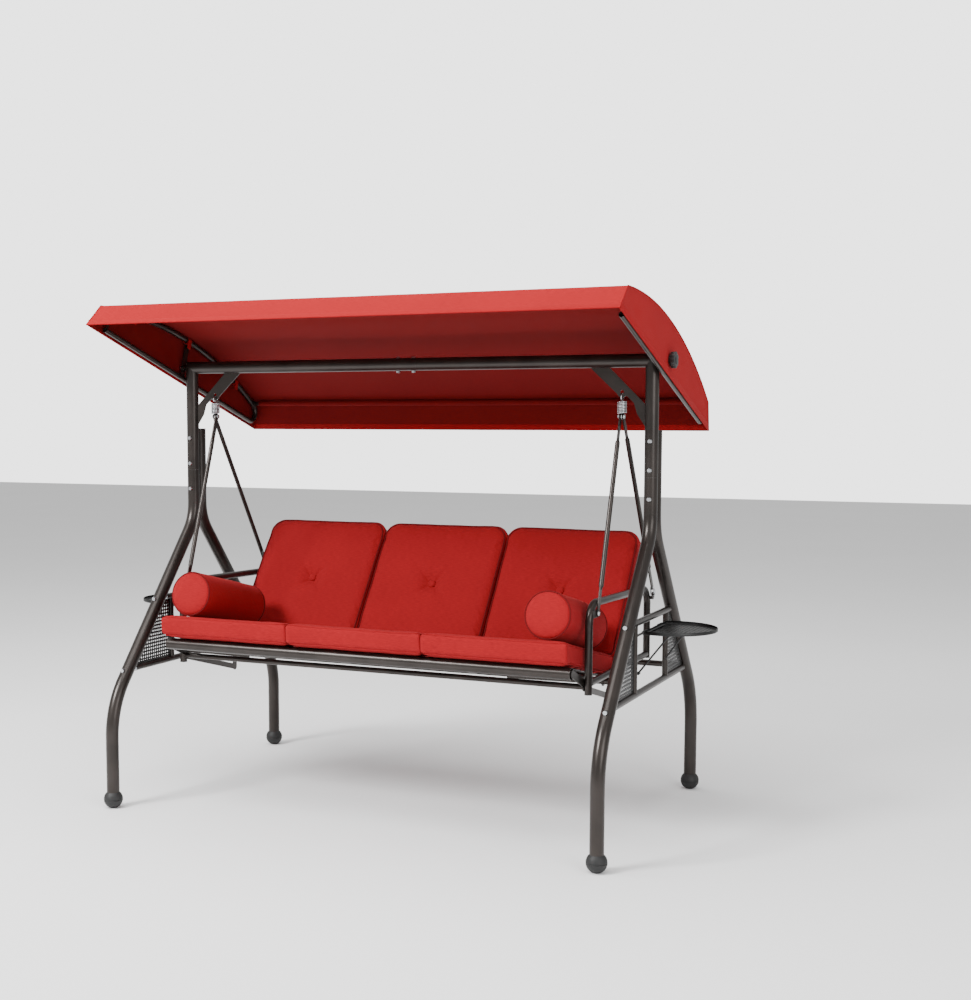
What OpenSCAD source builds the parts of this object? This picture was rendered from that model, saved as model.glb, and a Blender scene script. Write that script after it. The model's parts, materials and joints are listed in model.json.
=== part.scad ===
// Three-seat canopy swing: tube stand, spring-hung seat with a reclining back,
// tilting canopy and two fold-down side trays.
// Origin: on the floor, midway between the four feet. +Y points to the back.

/* [Stand] */
// Distance between the centres of the left and right legs
leg_plane_w = 1778; // [1700:1:2000]
// Distance between the centres of the front and rear feet
foot_span = 1118; // [1050:1:1300]
// Height of the top bar's centre line
bar_z = 1556; // [1500:1:1800]
// Outside diameter of legs, uprights and top bar
tube_d = 45; // [40:1:48]
// Wall of legs, uprights and top bar
tube_wall = 1.5; // [1:0.1:2.5]
// Height where the vertical foot part would meet the slanted leg
foot_bend_z = 357; // [330:1:380]
// Bend radius of the leg above the foot
foot_bend_r = 300; // [200:1:320]
// Height where the slanted leg would meet the upright
split_z = 991; // [950:1:1010]
// Bend radius of the leg below the upright
split_bend_r = 160; // [120:1:200]
// Height of the joint in each front upright
upright_joint_z = 1174; // [1150:1:1190]
// Height of the top end of each rear leg
rear_leg_top_z = 1326; // [1300:1:1400]
// Diameter of the ball feet
foot_d = 67; // [60:1:80]
// Position of the joint in the top bar, right of the middle
bar_joint_x = 46; // [36:1:120]
// Thickness of the corner gusset plates
gusset_t = 4; // [3:0.5:6]

/* [Side frames] */
// Diameter of the side frame's two level bars
side_bar_d = 22; // [18:1:25]
// Height of the lower bar
side_bar_low_z = 477; // [460:1:500]
// Height of the upper bar
side_bar_high_z = 711; // [700:1:740]
// Diameter of the two side posts
side_post_d = 20; // [16:1:21]
// Distance between the two side posts
side_post_span = 372; // [350:1:400]
// Wall of the small tubes
thin_wall = 1.2; // [1:0.1:2]
// Thickness of the perforated side screens
screen_t = 1.2; // [0.8:0.1:2]
// Diameter of the bar between the rear legs
rear_bar_d = 22; // [18:1:25]

/* [Side trays] */
// Radius of the tray's round outline
tray_r = 150; // [120:1:155]
// Distance from the tray's hinge to the centre of its round outline
tray_reach = 64.6; // [50:0.1:70]
// Height of the tray's hinge
tray_z = 672; // [650:1:680]
// Height of the tray's rim
tray_rim_h = 11; // [6:1:16]
// Thickness of the tray's sheet
tray_t = 1.5; // [1:0.1:2.5]
// Height of the support bail's pivot
bail_z = 548; // [540:1:556]
// Width of the support bail between its legs' centres
bail_w = 276; // [240:1:290]
// Wire diameter of the support bail
bail_wire_d = 6; // [5:0.5:7]

/* [Hangers] */
// Distance between the left and right arm frames' centres
arm_plane_w = 1536; // [1400:1:1560]
// Spring coil's outside diameter
spring_d = 32; // [26:1:36]
// Spring coil's length, closed
spring_h = 35; // [30:1:45]
// Spring wire diameter
spring_wire_d = 4.5; // [4:0.1:5.5]
// Hanger rod diameter
rod_d = 16; // [12:1:18]
// Thickness of the rods' flattened ends
rod_flat_t = 4; // [3:0.5:5]
// Width of the rods' flattened ends
rod_flat_w = 20; // [16:1:24]
// Length of the rods' flattened ends
rod_flat_l = 90; // [80:1:100]

/* [Seat frame] */
// Diameter of the arm tube
arm_d = 25; // [22:1:28]
// Front arm post, distance in front of the middle
arm_front_y = 287; // [270:1:300]
// Rear arm post, distance behind the middle
arm_rear_y = 378; // [360:1:390]
// Height of the arm above the floor at its front bend
arm_top_z = 779; // [760:1:800]
// Drop of the arm from its front bend to its rear bend
arm_drop = 17; // [0:1:40]
// Height of the side rail in each arm frame
arm_rail_z = 523; // [515:1:530]
// Lower end of the front arm posts
arm_foot_z = 490; // [480:1:500]
// Front rail diameter
front_rail_d = 40; // [32:1:44]
// Slope of the seat deck, falling to the back
deck_tilt = 12.9; // [8:0.1:16]
// Front edge of the seat cushions, in front of the middle
seat_front_y = 447; // [430:1:460]
// Height of the seat cushions' underside at the front edge
seat_z = 603; // [590:1:615]

/* [Cushions] */
// Depth of the seat cushions, along the deck
seat_cushion_l = 478; // [430:1:484]
// Thickness of the seat cushions
seat_cushion_t = 78; // [60:1:84]
// Height of the back cushions, along the back
back_cushion_l = 508; // [450:1:540]
// Thickness of the back cushions
back_cushion_t = 80; // [60:1:90]
// Radius of the back cushions' upper corners
back_corner_r = 62; // [40:1:80]
// Bolster diameter
bolster_d = 158; // [130:1:170]
// Bolster length
bolster_l = 410; // [360:1:430]

/* [Back] */
// Lean of the back from the vertical
back_tilt = 36; // [30:0.5:38]
// Diameter of the back frame's tube
back_tube_d = 22; // [19:1:25]
// How far the back frame's side tubes stand in from the ends of the cushion row
back_frame_inset = 51; // [40:1:100]
// Height of the back frame, along the back
back_frame_h = 445; // [400:1:460]

/* [Canopy] */
// Room between each canopy hoop and the cover's side
cover_room = 6; // [2:0.5:60]
// Length of the canopy cover along its lower edge
canopy_l = 1160; // [1100:1:1180]
// Height of the canopy cover's crown above its lower edge
canopy_h = 175; // [165:1:200]
// Height of the cover's front and rear valances
valance_h = 92.5; // [80:0.5:100]
// How far the front valance leans in
front_lean = 57; // [40:1:70]
// How far the rear valance leans in
rear_lean = 45; // [35:1:60]
// Tilt of the canopy, front up
canopy_tilt = 18.3; // [10:0.1:25]
// Diameter of the canopy frame's tubes
hoop_d = 18; // [16:0.5:20]
// Thickness of the cover in this model
cover_t = 3; // [2:0.5:4]
// Diameter of the tilt knobs
knob_d = 56; // [40:1:64]

/* [Hidden] */
$fn = 48;

bronze = "#2b2826";
zinc = "#b9bcbf";
black = "#161616";
red = "#ad2f33";
dark_red = "#9e2328";

// gap between pieces that only touch
gap = 0.3;
// how far straight tubes run into a bend, and how much thicker the bend's wall is
lap = 3;
bend_step = 0.1;

leg_x = leg_plane_w / 2;
foot_y = foot_span / 2;
pair_y = tube_d / 2 + gap / 2;
lean = atan2(foot_y - pair_y, split_z - foot_bend_z);
foot_flat_d = 24;
foot_centre_z = sqrt(pow(foot_d / 2, 2) - pow(foot_flat_d / 2, 2));
foot_socket_z = 22;
function leg_y(z) = pair_y + (split_z - z) * tan(lean);

bolt_d = 8;
bolt_hole_d = 8.5;
upright_bolt_zs = [1103, 1198, 1293];
bar_bolt_xs = [-30, 30];
sleeve_d = tube_d - 2 * tube_wall - 2 * gap;
sleeve_wall = 2;

post_y = side_post_span / 2;
hinge_x = leg_x + 7;
hinge_rod_d = 8;
bail_pin_d = 6;
bail_x = leg_x + 8;
running = 0.05;

arm_x = arm_plane_w / 2;
// rods and spring eyes stack outwards from the arm tube
front_rod_x = arm_x + arm_d / 2 + 0.5 + rod_flat_t / 2;
spring_x = front_rod_x + rod_flat_t / 2 + 0.5 + spring_wire_d / 2;
rear_rod_x = spring_x + spring_wire_d / 2 + 0.5 + rod_flat_t / 2;

gusset_lobe_r = 18;
hook_hole_d = 13;
hook_hole_z = bar_z - 102;
hook_r = 12;
hook_z = hook_hole_z - hook_hole_d / 2 + spring_wire_d / 2 + gap;
coil_top_z = hook_z - 2 * hook_r - spring_wire_d / 2 + 1;
coil_low_z = coil_top_z - spring_h;
eye_r = 8;
apex_z = coil_low_z - 8 - eye_r;
front_rod_end = [-242, 745];
link_l = 33;
rear_rod_end = [355, 768];
link_tab = [368, 737];

deck_origin = [-seat_front_y, seat_z];
function deck_point(y, z) = [deck_origin.x + y * cos(deck_tilt) + z * sin(deck_tilt),
                             deck_origin.y - y * sin(deck_tilt) + z * cos(deck_tilt)];
front_rail_yz = [50, -front_rail_d / 2 - 0.5];
slat_t = 2;
slat_w = 38;
deck_bar_d = 25;
deck_bar_z = -0.4 - slat_t - gap - deck_bar_d / 2;
rear_rail_y = 500;
plate_t = 3.6;
plate_x = arm_x - arm_d / 2 - gap - plate_t / 2;
rail_half = plate_x - plate_t / 2 - gap;
cushion_row_w = 2 * (rail_half - gap);
back_frame_w = cushion_row_w - 2 * back_frame_inset;
deck_bar_xs = [-rail_half + 71.3, -rail_half / 3, rail_half / 3, rail_half - 71.3];
brace_x = 500 / 751.3 * rail_half;
stretcher_d = 19;
stretcher_z = 512;

crease = [42, 565];
recline_offset = back_cushion_t + 14;
recline_axis = crease + recline_offset * [cos(back_tilt), -sin(back_tilt)];
hub_d = 26;
hub_l = 26;
pin_d = 10;
bracket_t = 4;
bracket_x = back_frame_w / 2 + hub_l / 2 + 0.5 + bracket_t / 2;
cushion_gap = 1;
cushion_w = cushion_row_w / 3 - cushion_gap;

pivot_u = 573.5;
pivot_v = 52.2;
crown_r = (pow((canopy_l - front_lean - rear_lean) / 2, 2) + pow(canopy_h - valance_h, 2))
          / (2 * (canopy_h - valance_h));
crown_u = front_lean + (canopy_l - front_lean - rear_lean) / 2;
hoop_x = leg_x + 39;
hoop_r = crown_r - 16;
hoop_low_v = 12;
hoop_corner_r = 36;
// height of the hoop's lower tube over the centre of the crown's circle
hoop_base = crown_r - canopy_h + hoop_low_v;
// straight run between the bow and the tight corner
hoop_run = 8;
hoop_turn = acos((hoop_base + hoop_corner_r) / norm([hoop_r - hoop_corner_r, hoop_run]))
            - atan2(hoop_run, hoop_r - hoop_corner_r);
hoop_end = [hoop_r * sin(hoop_turn), hoop_r * cos(hoop_turn) - hoop_base + hoop_low_v];
canopy_w = 2 * (hoop_x + hoop_d / 2 + cover_room + cover_t);
stub_d = 22;
canopy_bar_d = 16;
strut_w = 26;
strut_t = 3;

function unit(v) = v / norm(v);

// ring section of a tube, or a full disc when the wall fills it
module ring(d, w) {
  difference() {
    circle(d = d);
    if (w < d / 2) circle(d = d - 2 * w);
  }
}

// tube along X, centred
module tube_x(l, d, w) {
  rotate([0, 90, 0]) linear_extrude(l, center = true) ring(d, w);
}

// rod along X from x0 to x1 at a point of the YZ plane
module pin_x(x0, x1, yz, d, sides = 48) {
  translate([min(x0, x1), yz.x, yz.y]) rotate([0, 90, 0]) cylinder(d = d, h = abs(x1 - x0), $fn = sides);
}

// rod along Y from y0 to y1 at a point of the XZ plane
module pin_y(y0, y1, xz, d, sides = 48) {
  translate([xz.x, max(y0, y1), xz.y]) rotate([90, 0, 0]) cylinder(d = d, h = abs(y1 - y0), $fn = sides);
}

// flat piece drawn in the YZ plane and given a thickness about x
module plate_x(x, t) {
  translate([x - t / 2, 0, 0]) rotate([90, 0, 90]) linear_extrude(t) children();
}

// flat bar outline between two points, with round ends
module strip(a, b, w) {
  translate(a) rotate(atan2(b.y - a.y, b.x - a.x)) translate([0, -w / 2]) square([norm(b - a), w]);
  translate(a) circle(d = w + 0.2);
  translate(b) circle(d = w + 0.2);
}

module straight_tube(a, b, d, w) {
  translate([a.x, a.y, 0]) rotate([0, 0, atan2(b.y - a.y, b.x - a.x)]) rotate([0, 90, 0])
    linear_extrude(norm(b - a)) ring(d, w);
}

// tube along a path in the XY plane, with a bend of the given radius at each inner point
module bent_tube(pts, radii, d, w) {
  n = len(pts);
  dirs = [for (i = [0:n - 2]) unit(pts[i + 1] - pts[i])];
  turns = [for (i = [1:n - 2]) let (a = dirs[i - 1], b = dirs[i]) atan2(a.x * b.y - a.y * b.x, a * b)];
  trims = [for (i = [0:n - 3]) radii[i] * tan(abs(turns[i]) / 2)];
  for (i = [0:n - 2])
    straight_tube(pts[i] + dirs[i] * (i == 0 ? 0 : trims[i - 1] - lap),
                  pts[i + 1] - dirs[i] * (i == n - 2 ? 0 : trims[i] - lap), d, w);
  for (i = [1:n - 2]) {
    side = sign(turns[i - 1]);
    start = pts[i] - dirs[i - 1] * trims[i - 1];
    centre = start + side * radii[i - 1] * [-dirs[i - 1].y, dirs[i - 1].x];
    first = side > 0 ? start : pts[i] + dirs[i] * trims[i - 1];
    translate([centre.x, centre.y, 0]) rotate([0, 0, atan2(first.y - centre.y, first.x - centre.x)])
      rotate_extrude(angle = abs(turns[i - 1])) translate([radii[i - 1], 0])
        ring(d + 2 * bend_step, w + 2 * bend_step);
  }
}

// puts a shape drawn in the XY plane into the YZ plane at x
module in_side_plane(x) {
  translate([x, 0, 0]) rotate([90, 0, 90]) children();
}

module both_sides() {
  children();
  mirror([1, 0, 0]) children();
}

module both_ends() {
  children();
  mirror([0, 1, 0]) children();
}

module on_side(side) {
  if (side > 0) children();
  else mirror([1, 0, 0]) children();
}

module upright_bolt_holes() {
  for (z = upright_bolt_zs)
    pin_y(-3 * tube_d, 3 * tube_d, [leg_x, z], bolt_hole_d);
}

// --- stand ---------------------------------------------------------------

module leg(top_z) {
  difference() {
    in_side_plane(leg_x)
      bent_tube([[-foot_y, foot_socket_z + gap], [-foot_y, foot_bend_z], [-pair_y, split_z], [-pair_y, top_z]],
                [foot_bend_r, split_bend_r], tube_d, tube_wall);
    upright_bolt_holes();
    for (z = [side_bar_low_z, side_bar_high_z])
      pin_y(-foot_y - tube_d, -post_y, [leg_x, z], bolt_d);
  }
}

module front_leg(side) {
  color(bronze) on_side(side) leg(upright_joint_z - gap / 2);
}

module rear_leg(side) {
  color(bronze) on_side(side) mirror([0, 1, 0]) leg(rear_leg_top_z);
}

module foot_cap() {
  difference() {
    intersection() {
      translate([0, 0, foot_centre_z]) sphere(d = foot_d);
      translate([-foot_d, -foot_d, 0]) cube([2 * foot_d, 2 * foot_d, 62]);
    }
    translate([0, 0, foot_socket_z]) cylinder(d = tube_d + 2 * gap, h = foot_d);
    translate([0, 0, foot_centre_z]) rotate_extrude() translate([foot_d / 2 + 0.5, 0]) circle(d = 4, $fn = 24);
  }
}

module foot_caps() {
  color(black) both_sides() both_ends() translate([leg_x, foot_y, 0]) foot_cap();
}

// upright and half of the top bar, mitred and welded at the corner
module top_frame(side) {
  seam_x = side > 0 ? bar_joint_x + gap / 2 : -bar_joint_x + gap / 2;
  big = 3 * tube_d;
  color(bronze) on_side(side) difference() {
    union() {
      difference() {
        translate([leg_x, -pair_y, upright_joint_z + gap / 2])
          linear_extrude(bar_z - upright_joint_z + tube_d) ring(tube_d, tube_wall);
        translate([leg_x, -pair_y, bar_z - 0.3]) rotate([0, -45, 0]) translate([-big, -big, 0]) cube(2 * big);
      }
      difference() {
        translate([0, -pair_y, bar_z]) translate([(leg_x + tube_d + seam_x) / 2, 0, 0])
          tube_x(leg_x + tube_d - seam_x, tube_d, tube_wall);
        translate([leg_x - 0.3, -pair_y, bar_z]) rotate([0, -45, 0]) translate([-big, -big, -2 * big])
          cube(2 * big);
      }
      intersection() {
        translate([leg_x, -pair_y, bar_z - tube_d]) cylinder(d = tube_d + 0.8, h = 2 * tube_d);
        translate([leg_x, -pair_y, bar_z]) rotate([0, -45, 0]) cube([big, big, 2], center = true);
      }
      pin_x(leg_x + tube_d / 2 - 3, hoop_x - strut_t / 2 - 2.7 * gap, [-pair_y, bar_z], stub_d);
    }
    pin_x(leg_x + 10, hoop_x, [-pair_y, bar_z], pin_d + 2 * running);
    upright_bolt_holes();
    for (x = bar_bolt_xs)
      if (side < 0) translate([-x, -pair_y, bar_z - tube_d]) cylinder(d = bolt_hole_d, h = 2 * tube_d);
  }
}

module sleeve(l, holes) {
  difference() {
    linear_extrude(l, center = true) ring(sleeve_d, sleeve_wall);
    for (h = holes) translate([0, tube_d, h]) rotate([90, 0, 0]) cylinder(d = bolt_hole_d, h = 2 * tube_d);
  }
}

module joint_sleeves() {
  color(zinc) {
    both_sides() translate([leg_x, -pair_y, upright_bolt_zs[1]])
      sleeve(240, [for (z = upright_bolt_zs) z - upright_bolt_zs[1]]);
    translate([bar_joint_x - 16, -pair_y, bar_z]) rotate([90, 0, 0]) rotate([0, 90, 0])
      sleeve(160, [for (x = bar_bolt_xs) x - bar_joint_x + 16]);
  }
}

module gusset(side) {
  top_z = bar_z - tube_d / 2 - gap;
  edge_x = leg_x - tube_d / 2 - gap;
  color(bronze) on_side(side) translate([0, -pair_y + gusset_t / 2, 0]) rotate([90, 0, 0])
    linear_extrude(gusset_t) difference() {
      union() {
        polygon([[edge_x - 187, top_z], [spring_x - 16, hook_hole_z - 7], [spring_x + 18, hook_hole_z - 15],
                 [edge_x - 38, hook_hole_z - 36], [edge_x - 27, hook_hole_z - 72], [edge_x, hook_hole_z - 112],
                 [edge_x, hook_hole_z - 40], [edge_x - 121, top_z]]);
        translate([spring_x, hook_hole_z]) circle(r = gusset_lobe_r);
      }
      translate([spring_x, hook_hole_z]) circle(d = hook_hole_d);
    }
}

// --- side frames ---------------------------------------------------------

// half length of a side bar at height z, up to the leg
function side_bar_reach(z) = leg_y(z) - (tube_d / 2 + gap) / cos(lean);

module side_frame_solid(bar, post) {
  for (z = [side_bar_low_z, side_bar_high_z])
    pin_y(-side_bar_reach(z) + side_bar_d / 2 * tan(lean), side_bar_reach(z) - side_bar_d / 2 * tan(lean),
          [leg_x, z], bar);
  for (y = [-post_y, post_y])
    translate([leg_x, y, side_bar_low_z]) cylinder(d = post, h = side_bar_high_z - side_bar_low_z);
}

module side_frame(side) {
  color(bronze) on_side(side) {
    difference() {
      side_frame_solid(side_bar_d, side_post_d);
      for (z = [side_bar_low_z, side_bar_high_z])
        pin_y(-foot_y, foot_y, [leg_x, z], side_bar_d - 2 * thin_wall);
      for (y = [-post_y, post_y])
        translate([leg_x, y, side_bar_low_z])
          cylinder(d = side_post_d - 2 * thin_wall, h = side_bar_high_z - side_bar_low_z);
    }
    pin_y(-post_y + 6.5, post_y - 6.5, [hinge_x, tray_z], hinge_rod_d);
    both_ends() pin_y(post_y - 5, post_y - 28, [bail_x, bail_z], bail_pin_d);
  }
}

module side_screens(side) {
  low = side_bar_low_z + side_bar_d / 2 + gap;
  high = side_bar_high_z - side_bar_d / 2 - gap;
  inner = post_y + side_post_d / 2 + gap;
  edge = (tube_d / 2 + 2 * gap) / cos(lean);
  color(bronze) on_side(side) both_ends() plate_x(leg_x, screen_t)
    polygon([[inner, low], [leg_y(low) - edge, low], [leg_y(high) - edge, high], [inner, high]]);
}

// plastic plug in an open tube end, its head towards +Z
module end_plug(d, wall) {
  translate([0, 0, gap]) cylinder(d = d, h = 2.5);
  translate([0, 0, -10]) cylinder(d = d - 2 * wall - 2 * gap, h = 11);
}

module leg_plugs() {
  color(black) both_sides() translate([leg_x, pair_y, rear_leg_top_z]) end_plug(tube_d, tube_wall);
}

module arm_plugs() {
  color(black) both_sides() for (foot = [[-arm_front_y, arm_foot_z], [arm_rear_y, arm_rail_z - 11]])
    translate([arm_x, foot.x, foot.y]) rotate([180, 0, 0]) end_plug(arm_d, thin_wall);
}

module rear_bar() {
  z = side_bar_low_z;
  reach = leg_x - tube_d / 2 - gap;
  color(bronze) translate([0, leg_y(z), z]) tube_x(2 * reach, rear_bar_d, thin_wall);
}

// dome-headed bolt along +Z, nut at the far end
module bolt(grip, d = bolt_d) {
  head_h = 0.55 * d;
  translate([0, 0, -head_h - 0.1]) cylinder(d1 = 1.5 * d, d2 = 2 * d, h = head_h);
  translate([0, 0, -0.3]) cylinder(d = d, h = grip + 0.9 * d);
  translate([0, 0, grip + 0.1]) cylinder(d = 1.85 * d, h = 0.8 * d, $fn = 6);
}

module upright_bolts() {
  color(zinc) {
    both_sides() for (z = upright_bolt_zs)
      translate([leg_x, -pair_y - tube_d / 2, z]) rotate([-90, 0, 0]) bolt(2 * tube_d + gap);
    for (x = bar_bolt_xs)
      translate([x, -pair_y, bar_z + tube_d / 2]) rotate([180, 0, 0]) bolt(tube_d);
  }
}

// bolts through the legs into the ends of the side bars
module side_frame_bolts() {
  shank_d = bolt_d - 1;
  color(zinc) both_sides() both_ends() for (z = [side_bar_low_z, side_bar_high_z]) {
    out_y = leg_y(z) + (tube_d / 2) / cos(lean);
    in_y = side_bar_reach(z) - side_bar_d / 2 * tan(lean);
    difference() {
      pin_y(out_y - 8, out_y + 8, [leg_x, z], 13);
      translate([leg_x, leg_y(z), z]) rotate([lean, 0, 0]) cylinder(d = tube_d + gap, h = 99, center = true);
    }
    pin_y(in_y - 12, out_y + 7, [leg_x, z], shank_d);
    pin_y(in_y - 1, in_y - 13, [leg_x, z], side_bar_d - 2 * thin_wall - 2 * gap);
  }
}

// --- trays ---------------------------------------------------------------

module tray_outline(inset) {
  intersection() {
    translate([tray_reach, 0]) circle(r = tray_r - inset);
    translate([hinge_rod_d + inset, -tray_r]) square(2 * tray_r);
  }
}

module tray(side) {
  color(bronze) on_side(side) translate([hinge_x, 0, tray_z]) difference() {
    union() {
      translate([0, 0, -tray_t]) linear_extrude(tray_t) tray_outline(0);
      translate([0, 0, -tray_t]) linear_extrude(tray_rim_h) difference() {
        tray_outline(0);
        tray_outline(2);
      }
      for (y = [-90, 90]) {
        pin_y(y - 22, y + 22, [0, 0], hinge_rod_d + 5);
        translate([0, y - 22, -tray_t]) cube([hinge_rod_d + 1, 44, tray_t]);
      }
    }
    pin_y(-tray_r, tray_r, [0, 0], hinge_rod_d + 2 * running);
  }
}

// wire bail that props the tray up; it swings out and down before the tray folds
module tray_bail(side) {
  top_x = hinge_x + 89;
  top_z = tray_z - tray_t - bail_wire_d / 2 - 2 * gap;
  foot_y = post_y - side_post_d / 2 - 10;
  foot = [0, foot_y, 0];
  top = [0, bail_w / 2, norm([top_x - bail_x, top_z - bail_z])];
  lean_in = atan2(foot.y - top.y, top.z);
  lean_out = atan2(top_x - bail_x, top_z - bail_z);
  color(black) on_side(side) translate([bail_x, 0, bail_z]) rotate([0, lean_out, 0]) {
    both_ends() {
      difference() {
        union() {
          pin_y(foot.y - 6, foot.y + 6, [0, 0], bail_pin_d + 5);
          translate(foot) rotate([lean_in, 0, 0]) cylinder(d = bail_wire_d, h = norm(top - foot));
        }
        pin_y(0, 2 * foot.y, [0, 0], bail_pin_d + 2 * running);
      }
      translate(top) sphere(d = bail_wire_d + 0.6);
    }
    pin_y(-top.y, top.y, [0, top.z], bail_wire_d + 0.2);
  }
}

// --- hangers -------------------------------------------------------------

module spring(side) {
  color(zinc) on_side(side) translate([spring_x, -pair_y, 0]) {
    translate([0, 0, hook_z - hook_r]) rotate([0, 90, 0]) rotate_extrude()
      translate([hook_r, 0]) circle(d = spring_wire_d);
    translate([0, 0, coil_low_z]) difference() {
      cylinder(d = spring_d, h = spring_h);
      translate([0, 0, 3]) cylinder(d = spring_d - 3 * spring_wire_d, h = spring_h - 6 + 1.5);
      translate([0, 0, spring_h - 5]) cylinder(d = 4, h = 6);
    }
    translate([0, 0, apex_z + eye_r - 1]) cylinder(d = spring_wire_d + 0.4, h = coil_low_z - apex_z - eye_r + 2);
    translate([0, 0, apex_z]) rotate([0, 90, 0]) rotate_extrude()
      translate([eye_r, 0]) circle(d = spring_wire_d);
  }
}

// round rod with flattened ends, from the apex to a lower end point
module hanger_rod(x, end) {
  apex = [-pair_y, apex_z];
  l = norm(end - apex);
  fall = atan2(end.x - apex.x, apex.y - end.y);
  taper = 15;
  translate([x, apex.x, apex.y]) rotate([180 + fall, 0, 0]) difference() {
    union() {
      translate([-rod_flat_t / 2, -rod_flat_w / 2, 0]) cube([rod_flat_t, rod_flat_w, rod_flat_l]);
      translate([-rod_flat_t / 2, -rod_flat_w / 2, l - rod_flat_l]) cube([rod_flat_t, rod_flat_w, rod_flat_l]);
      for (z = [0, l]) translate([-rod_flat_t / 2, 0, z]) rotate([0, 90, 0])
        cylinder(d = rod_flat_w + 0.2, h = rod_flat_t);
      translate([0, 0, rod_flat_l - taper]) cylinder(d1 = rod_flat_t - 1, d2 = rod_d, h = taper);
      translate([0, 0, rod_flat_l]) cylinder(d = rod_d, h = l - 2 * rod_flat_l);
      translate([0, 0, l - rod_flat_l]) cylinder(d1 = rod_d, d2 = rod_flat_t - 1, h = taper);
    }
    for (z = [0, l]) translate([-rod_d, 0, z]) rotate([0, 90, 0]) cylinder(d = bolt_hole_d, h = 2 * rod_d);
  }
}

module front_rod(side) {
  color(bronze) on_side(side) hanger_rod(front_rod_x, front_rod_end);
}

module rear_rod(side) {
  color(bronze) on_side(side) hanger_rod(rear_rod_x, rear_rod_end);
}

module hanger_bolts() {
  color(zinc) both_sides() {
    translate([rear_rod_x + rod_flat_t / 2, -pair_y, apex_z]) rotate([0, -90, 0])
      bolt(rear_rod_x - front_rod_x + rod_flat_t);
    translate([front_rod_x + rod_flat_t / 2, front_rod_end.x, front_rod_end.y]) rotate([0, -90, 0])
      bolt(2 * rod_flat_t + gap);
  }
}

// oval screw link that joins the rear rod to the arm frame
module quick_links() {
  wire = 4.5;
  half_w = 6.5;
  dir = unit(link_tab - rear_rod_end);
  centre = (link_tab + rear_rod_end) / 2;
  side_l = link_l / 2 - half_w;
  color(zinc) both_sides() translate([rear_rod_x, centre.x, centre.y])
    rotate([180 + atan2(dir.x, -dir.y), 0, 0]) rotate([90, 0, 0]) {
      for (s = [-1, 1]) {
        translate([s * half_w, 0, 0]) rotate([90, 0, 0]) cylinder(d = wire, h = 2 * side_l + 2, center = true);
        translate([0, s * side_l, 0]) rotate([0, 0, s > 0 ? 0 : 180]) rotate_extrude(angle = 180)
          translate([half_w, 0]) circle(d = wire + 2 * bend_step);
      }
      translate([half_w, 0, 0]) rotate([90, 0, 0]) cylinder(d = wire + 4, h = 12, center = true, $fn = 6);
    }
}

// --- seat frame ----------------------------------------------------------

module arm_frame(side) {
  rear_top = arm_top_z - arm_drop;
  tab_r = 13;
  color(bronze) on_side(side) difference() {
    union() {
      in_side_plane(arm_x) {
        bent_tube([[-arm_front_y, arm_foot_z], [-arm_front_y, arm_top_z], [arm_rear_y, rear_top],
                   [arm_rear_y, arm_rail_z - 11]], [65, 60], arm_d, thin_wall);
        straight_tube([-arm_front_y + arm_d / 2 - 0.6, arm_rail_z], [arm_rear_y - arm_d / 2 + 0.6, arm_rail_z],
                      arm_d - 2, thin_wall);
      }
      // tab for the front rod
      plate_x(arm_x + arm_d / 2 - rod_flat_t / 2 + 0.1, rod_flat_t) {
        translate(front_rod_end) circle(r = tab_r);
        translate([-arm_front_y + 4, front_rod_end.y - tab_r + 1])
          square([front_rod_end.x + arm_front_y - 4, 2 * tab_r - 2]);
      }
      // tab and boss for the rear quick link
      plate_x(rear_rod_x, rod_flat_t) translate(link_tab) circle(r = tab_r);
      pin_x(arm_x + 8, rear_rod_x, link_tab + [5, -9], 12);
    }
    pin_x(arm_x, rear_rod_x + 20, front_rod_end, bolt_hole_d);
    pin_x(rear_rod_x - 4, rear_rod_x + 20, link_tab, bolt_hole_d);
  }
}

// side plates that join the rails to the arm frames
module seat_side_plates() {
  rail = deck_point(front_rail_yz.x, front_rail_yz.y);
  rear = deck_point(rear_rail_y, deck_bar_z);
  post = [-arm_front_y, arm_rail_z];
  strut_end = [rear.x, rear.y - 56];
  color(bronze) both_sides() plate_x(plate_x, plate_t) {
    strip(rail, post, 26);
    strip([post.x, post.y - 15], strut_end, 20);
    strip(strut_end, [rear.x, arm_rail_z], 24);
  }
}

module on_deck() {
  translate([0, deck_origin.x, deck_origin.y]) rotate([-deck_tilt, 0, 0]) children();
}

module front_rail() {
  color(bronze) on_deck() translate([0, front_rail_yz.x, front_rail_yz.y])
    tube_x(2 * rail_half, front_rail_d, tube_wall);
}

module rear_rail() {
  color(bronze) on_deck() translate([0, rear_rail_y, deck_bar_z]) tube_x(2 * rail_half, deck_bar_d, thin_wall);
}

module deck_bars() {
  start = front_rail_yz.x + front_rail_d / 2 + gap;
  end = rear_rail_y - deck_bar_d / 2 - gap;
  color(bronze) on_deck() for (x = deck_bar_xs)
    translate([x, start, deck_bar_z]) rotate([-90, 0, 0]) linear_extrude(end - start)
      ring(deck_bar_d, thin_wall);
}

module deck_slats() {
  color(bronze) on_deck() for (i = [0:6])
    translate([-rail_half + 10, 82 + i * 62 - slat_w / 2, -0.4 - slat_t])
      cube([2 * rail_half - 20, slat_w, slat_t]);
}

module front_stretcher() {
  color(bronze) translate([0, -arm_front_y, stretcher_z]) tube_x(2 * rail_half, stretcher_d, thin_wall);
}

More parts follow.
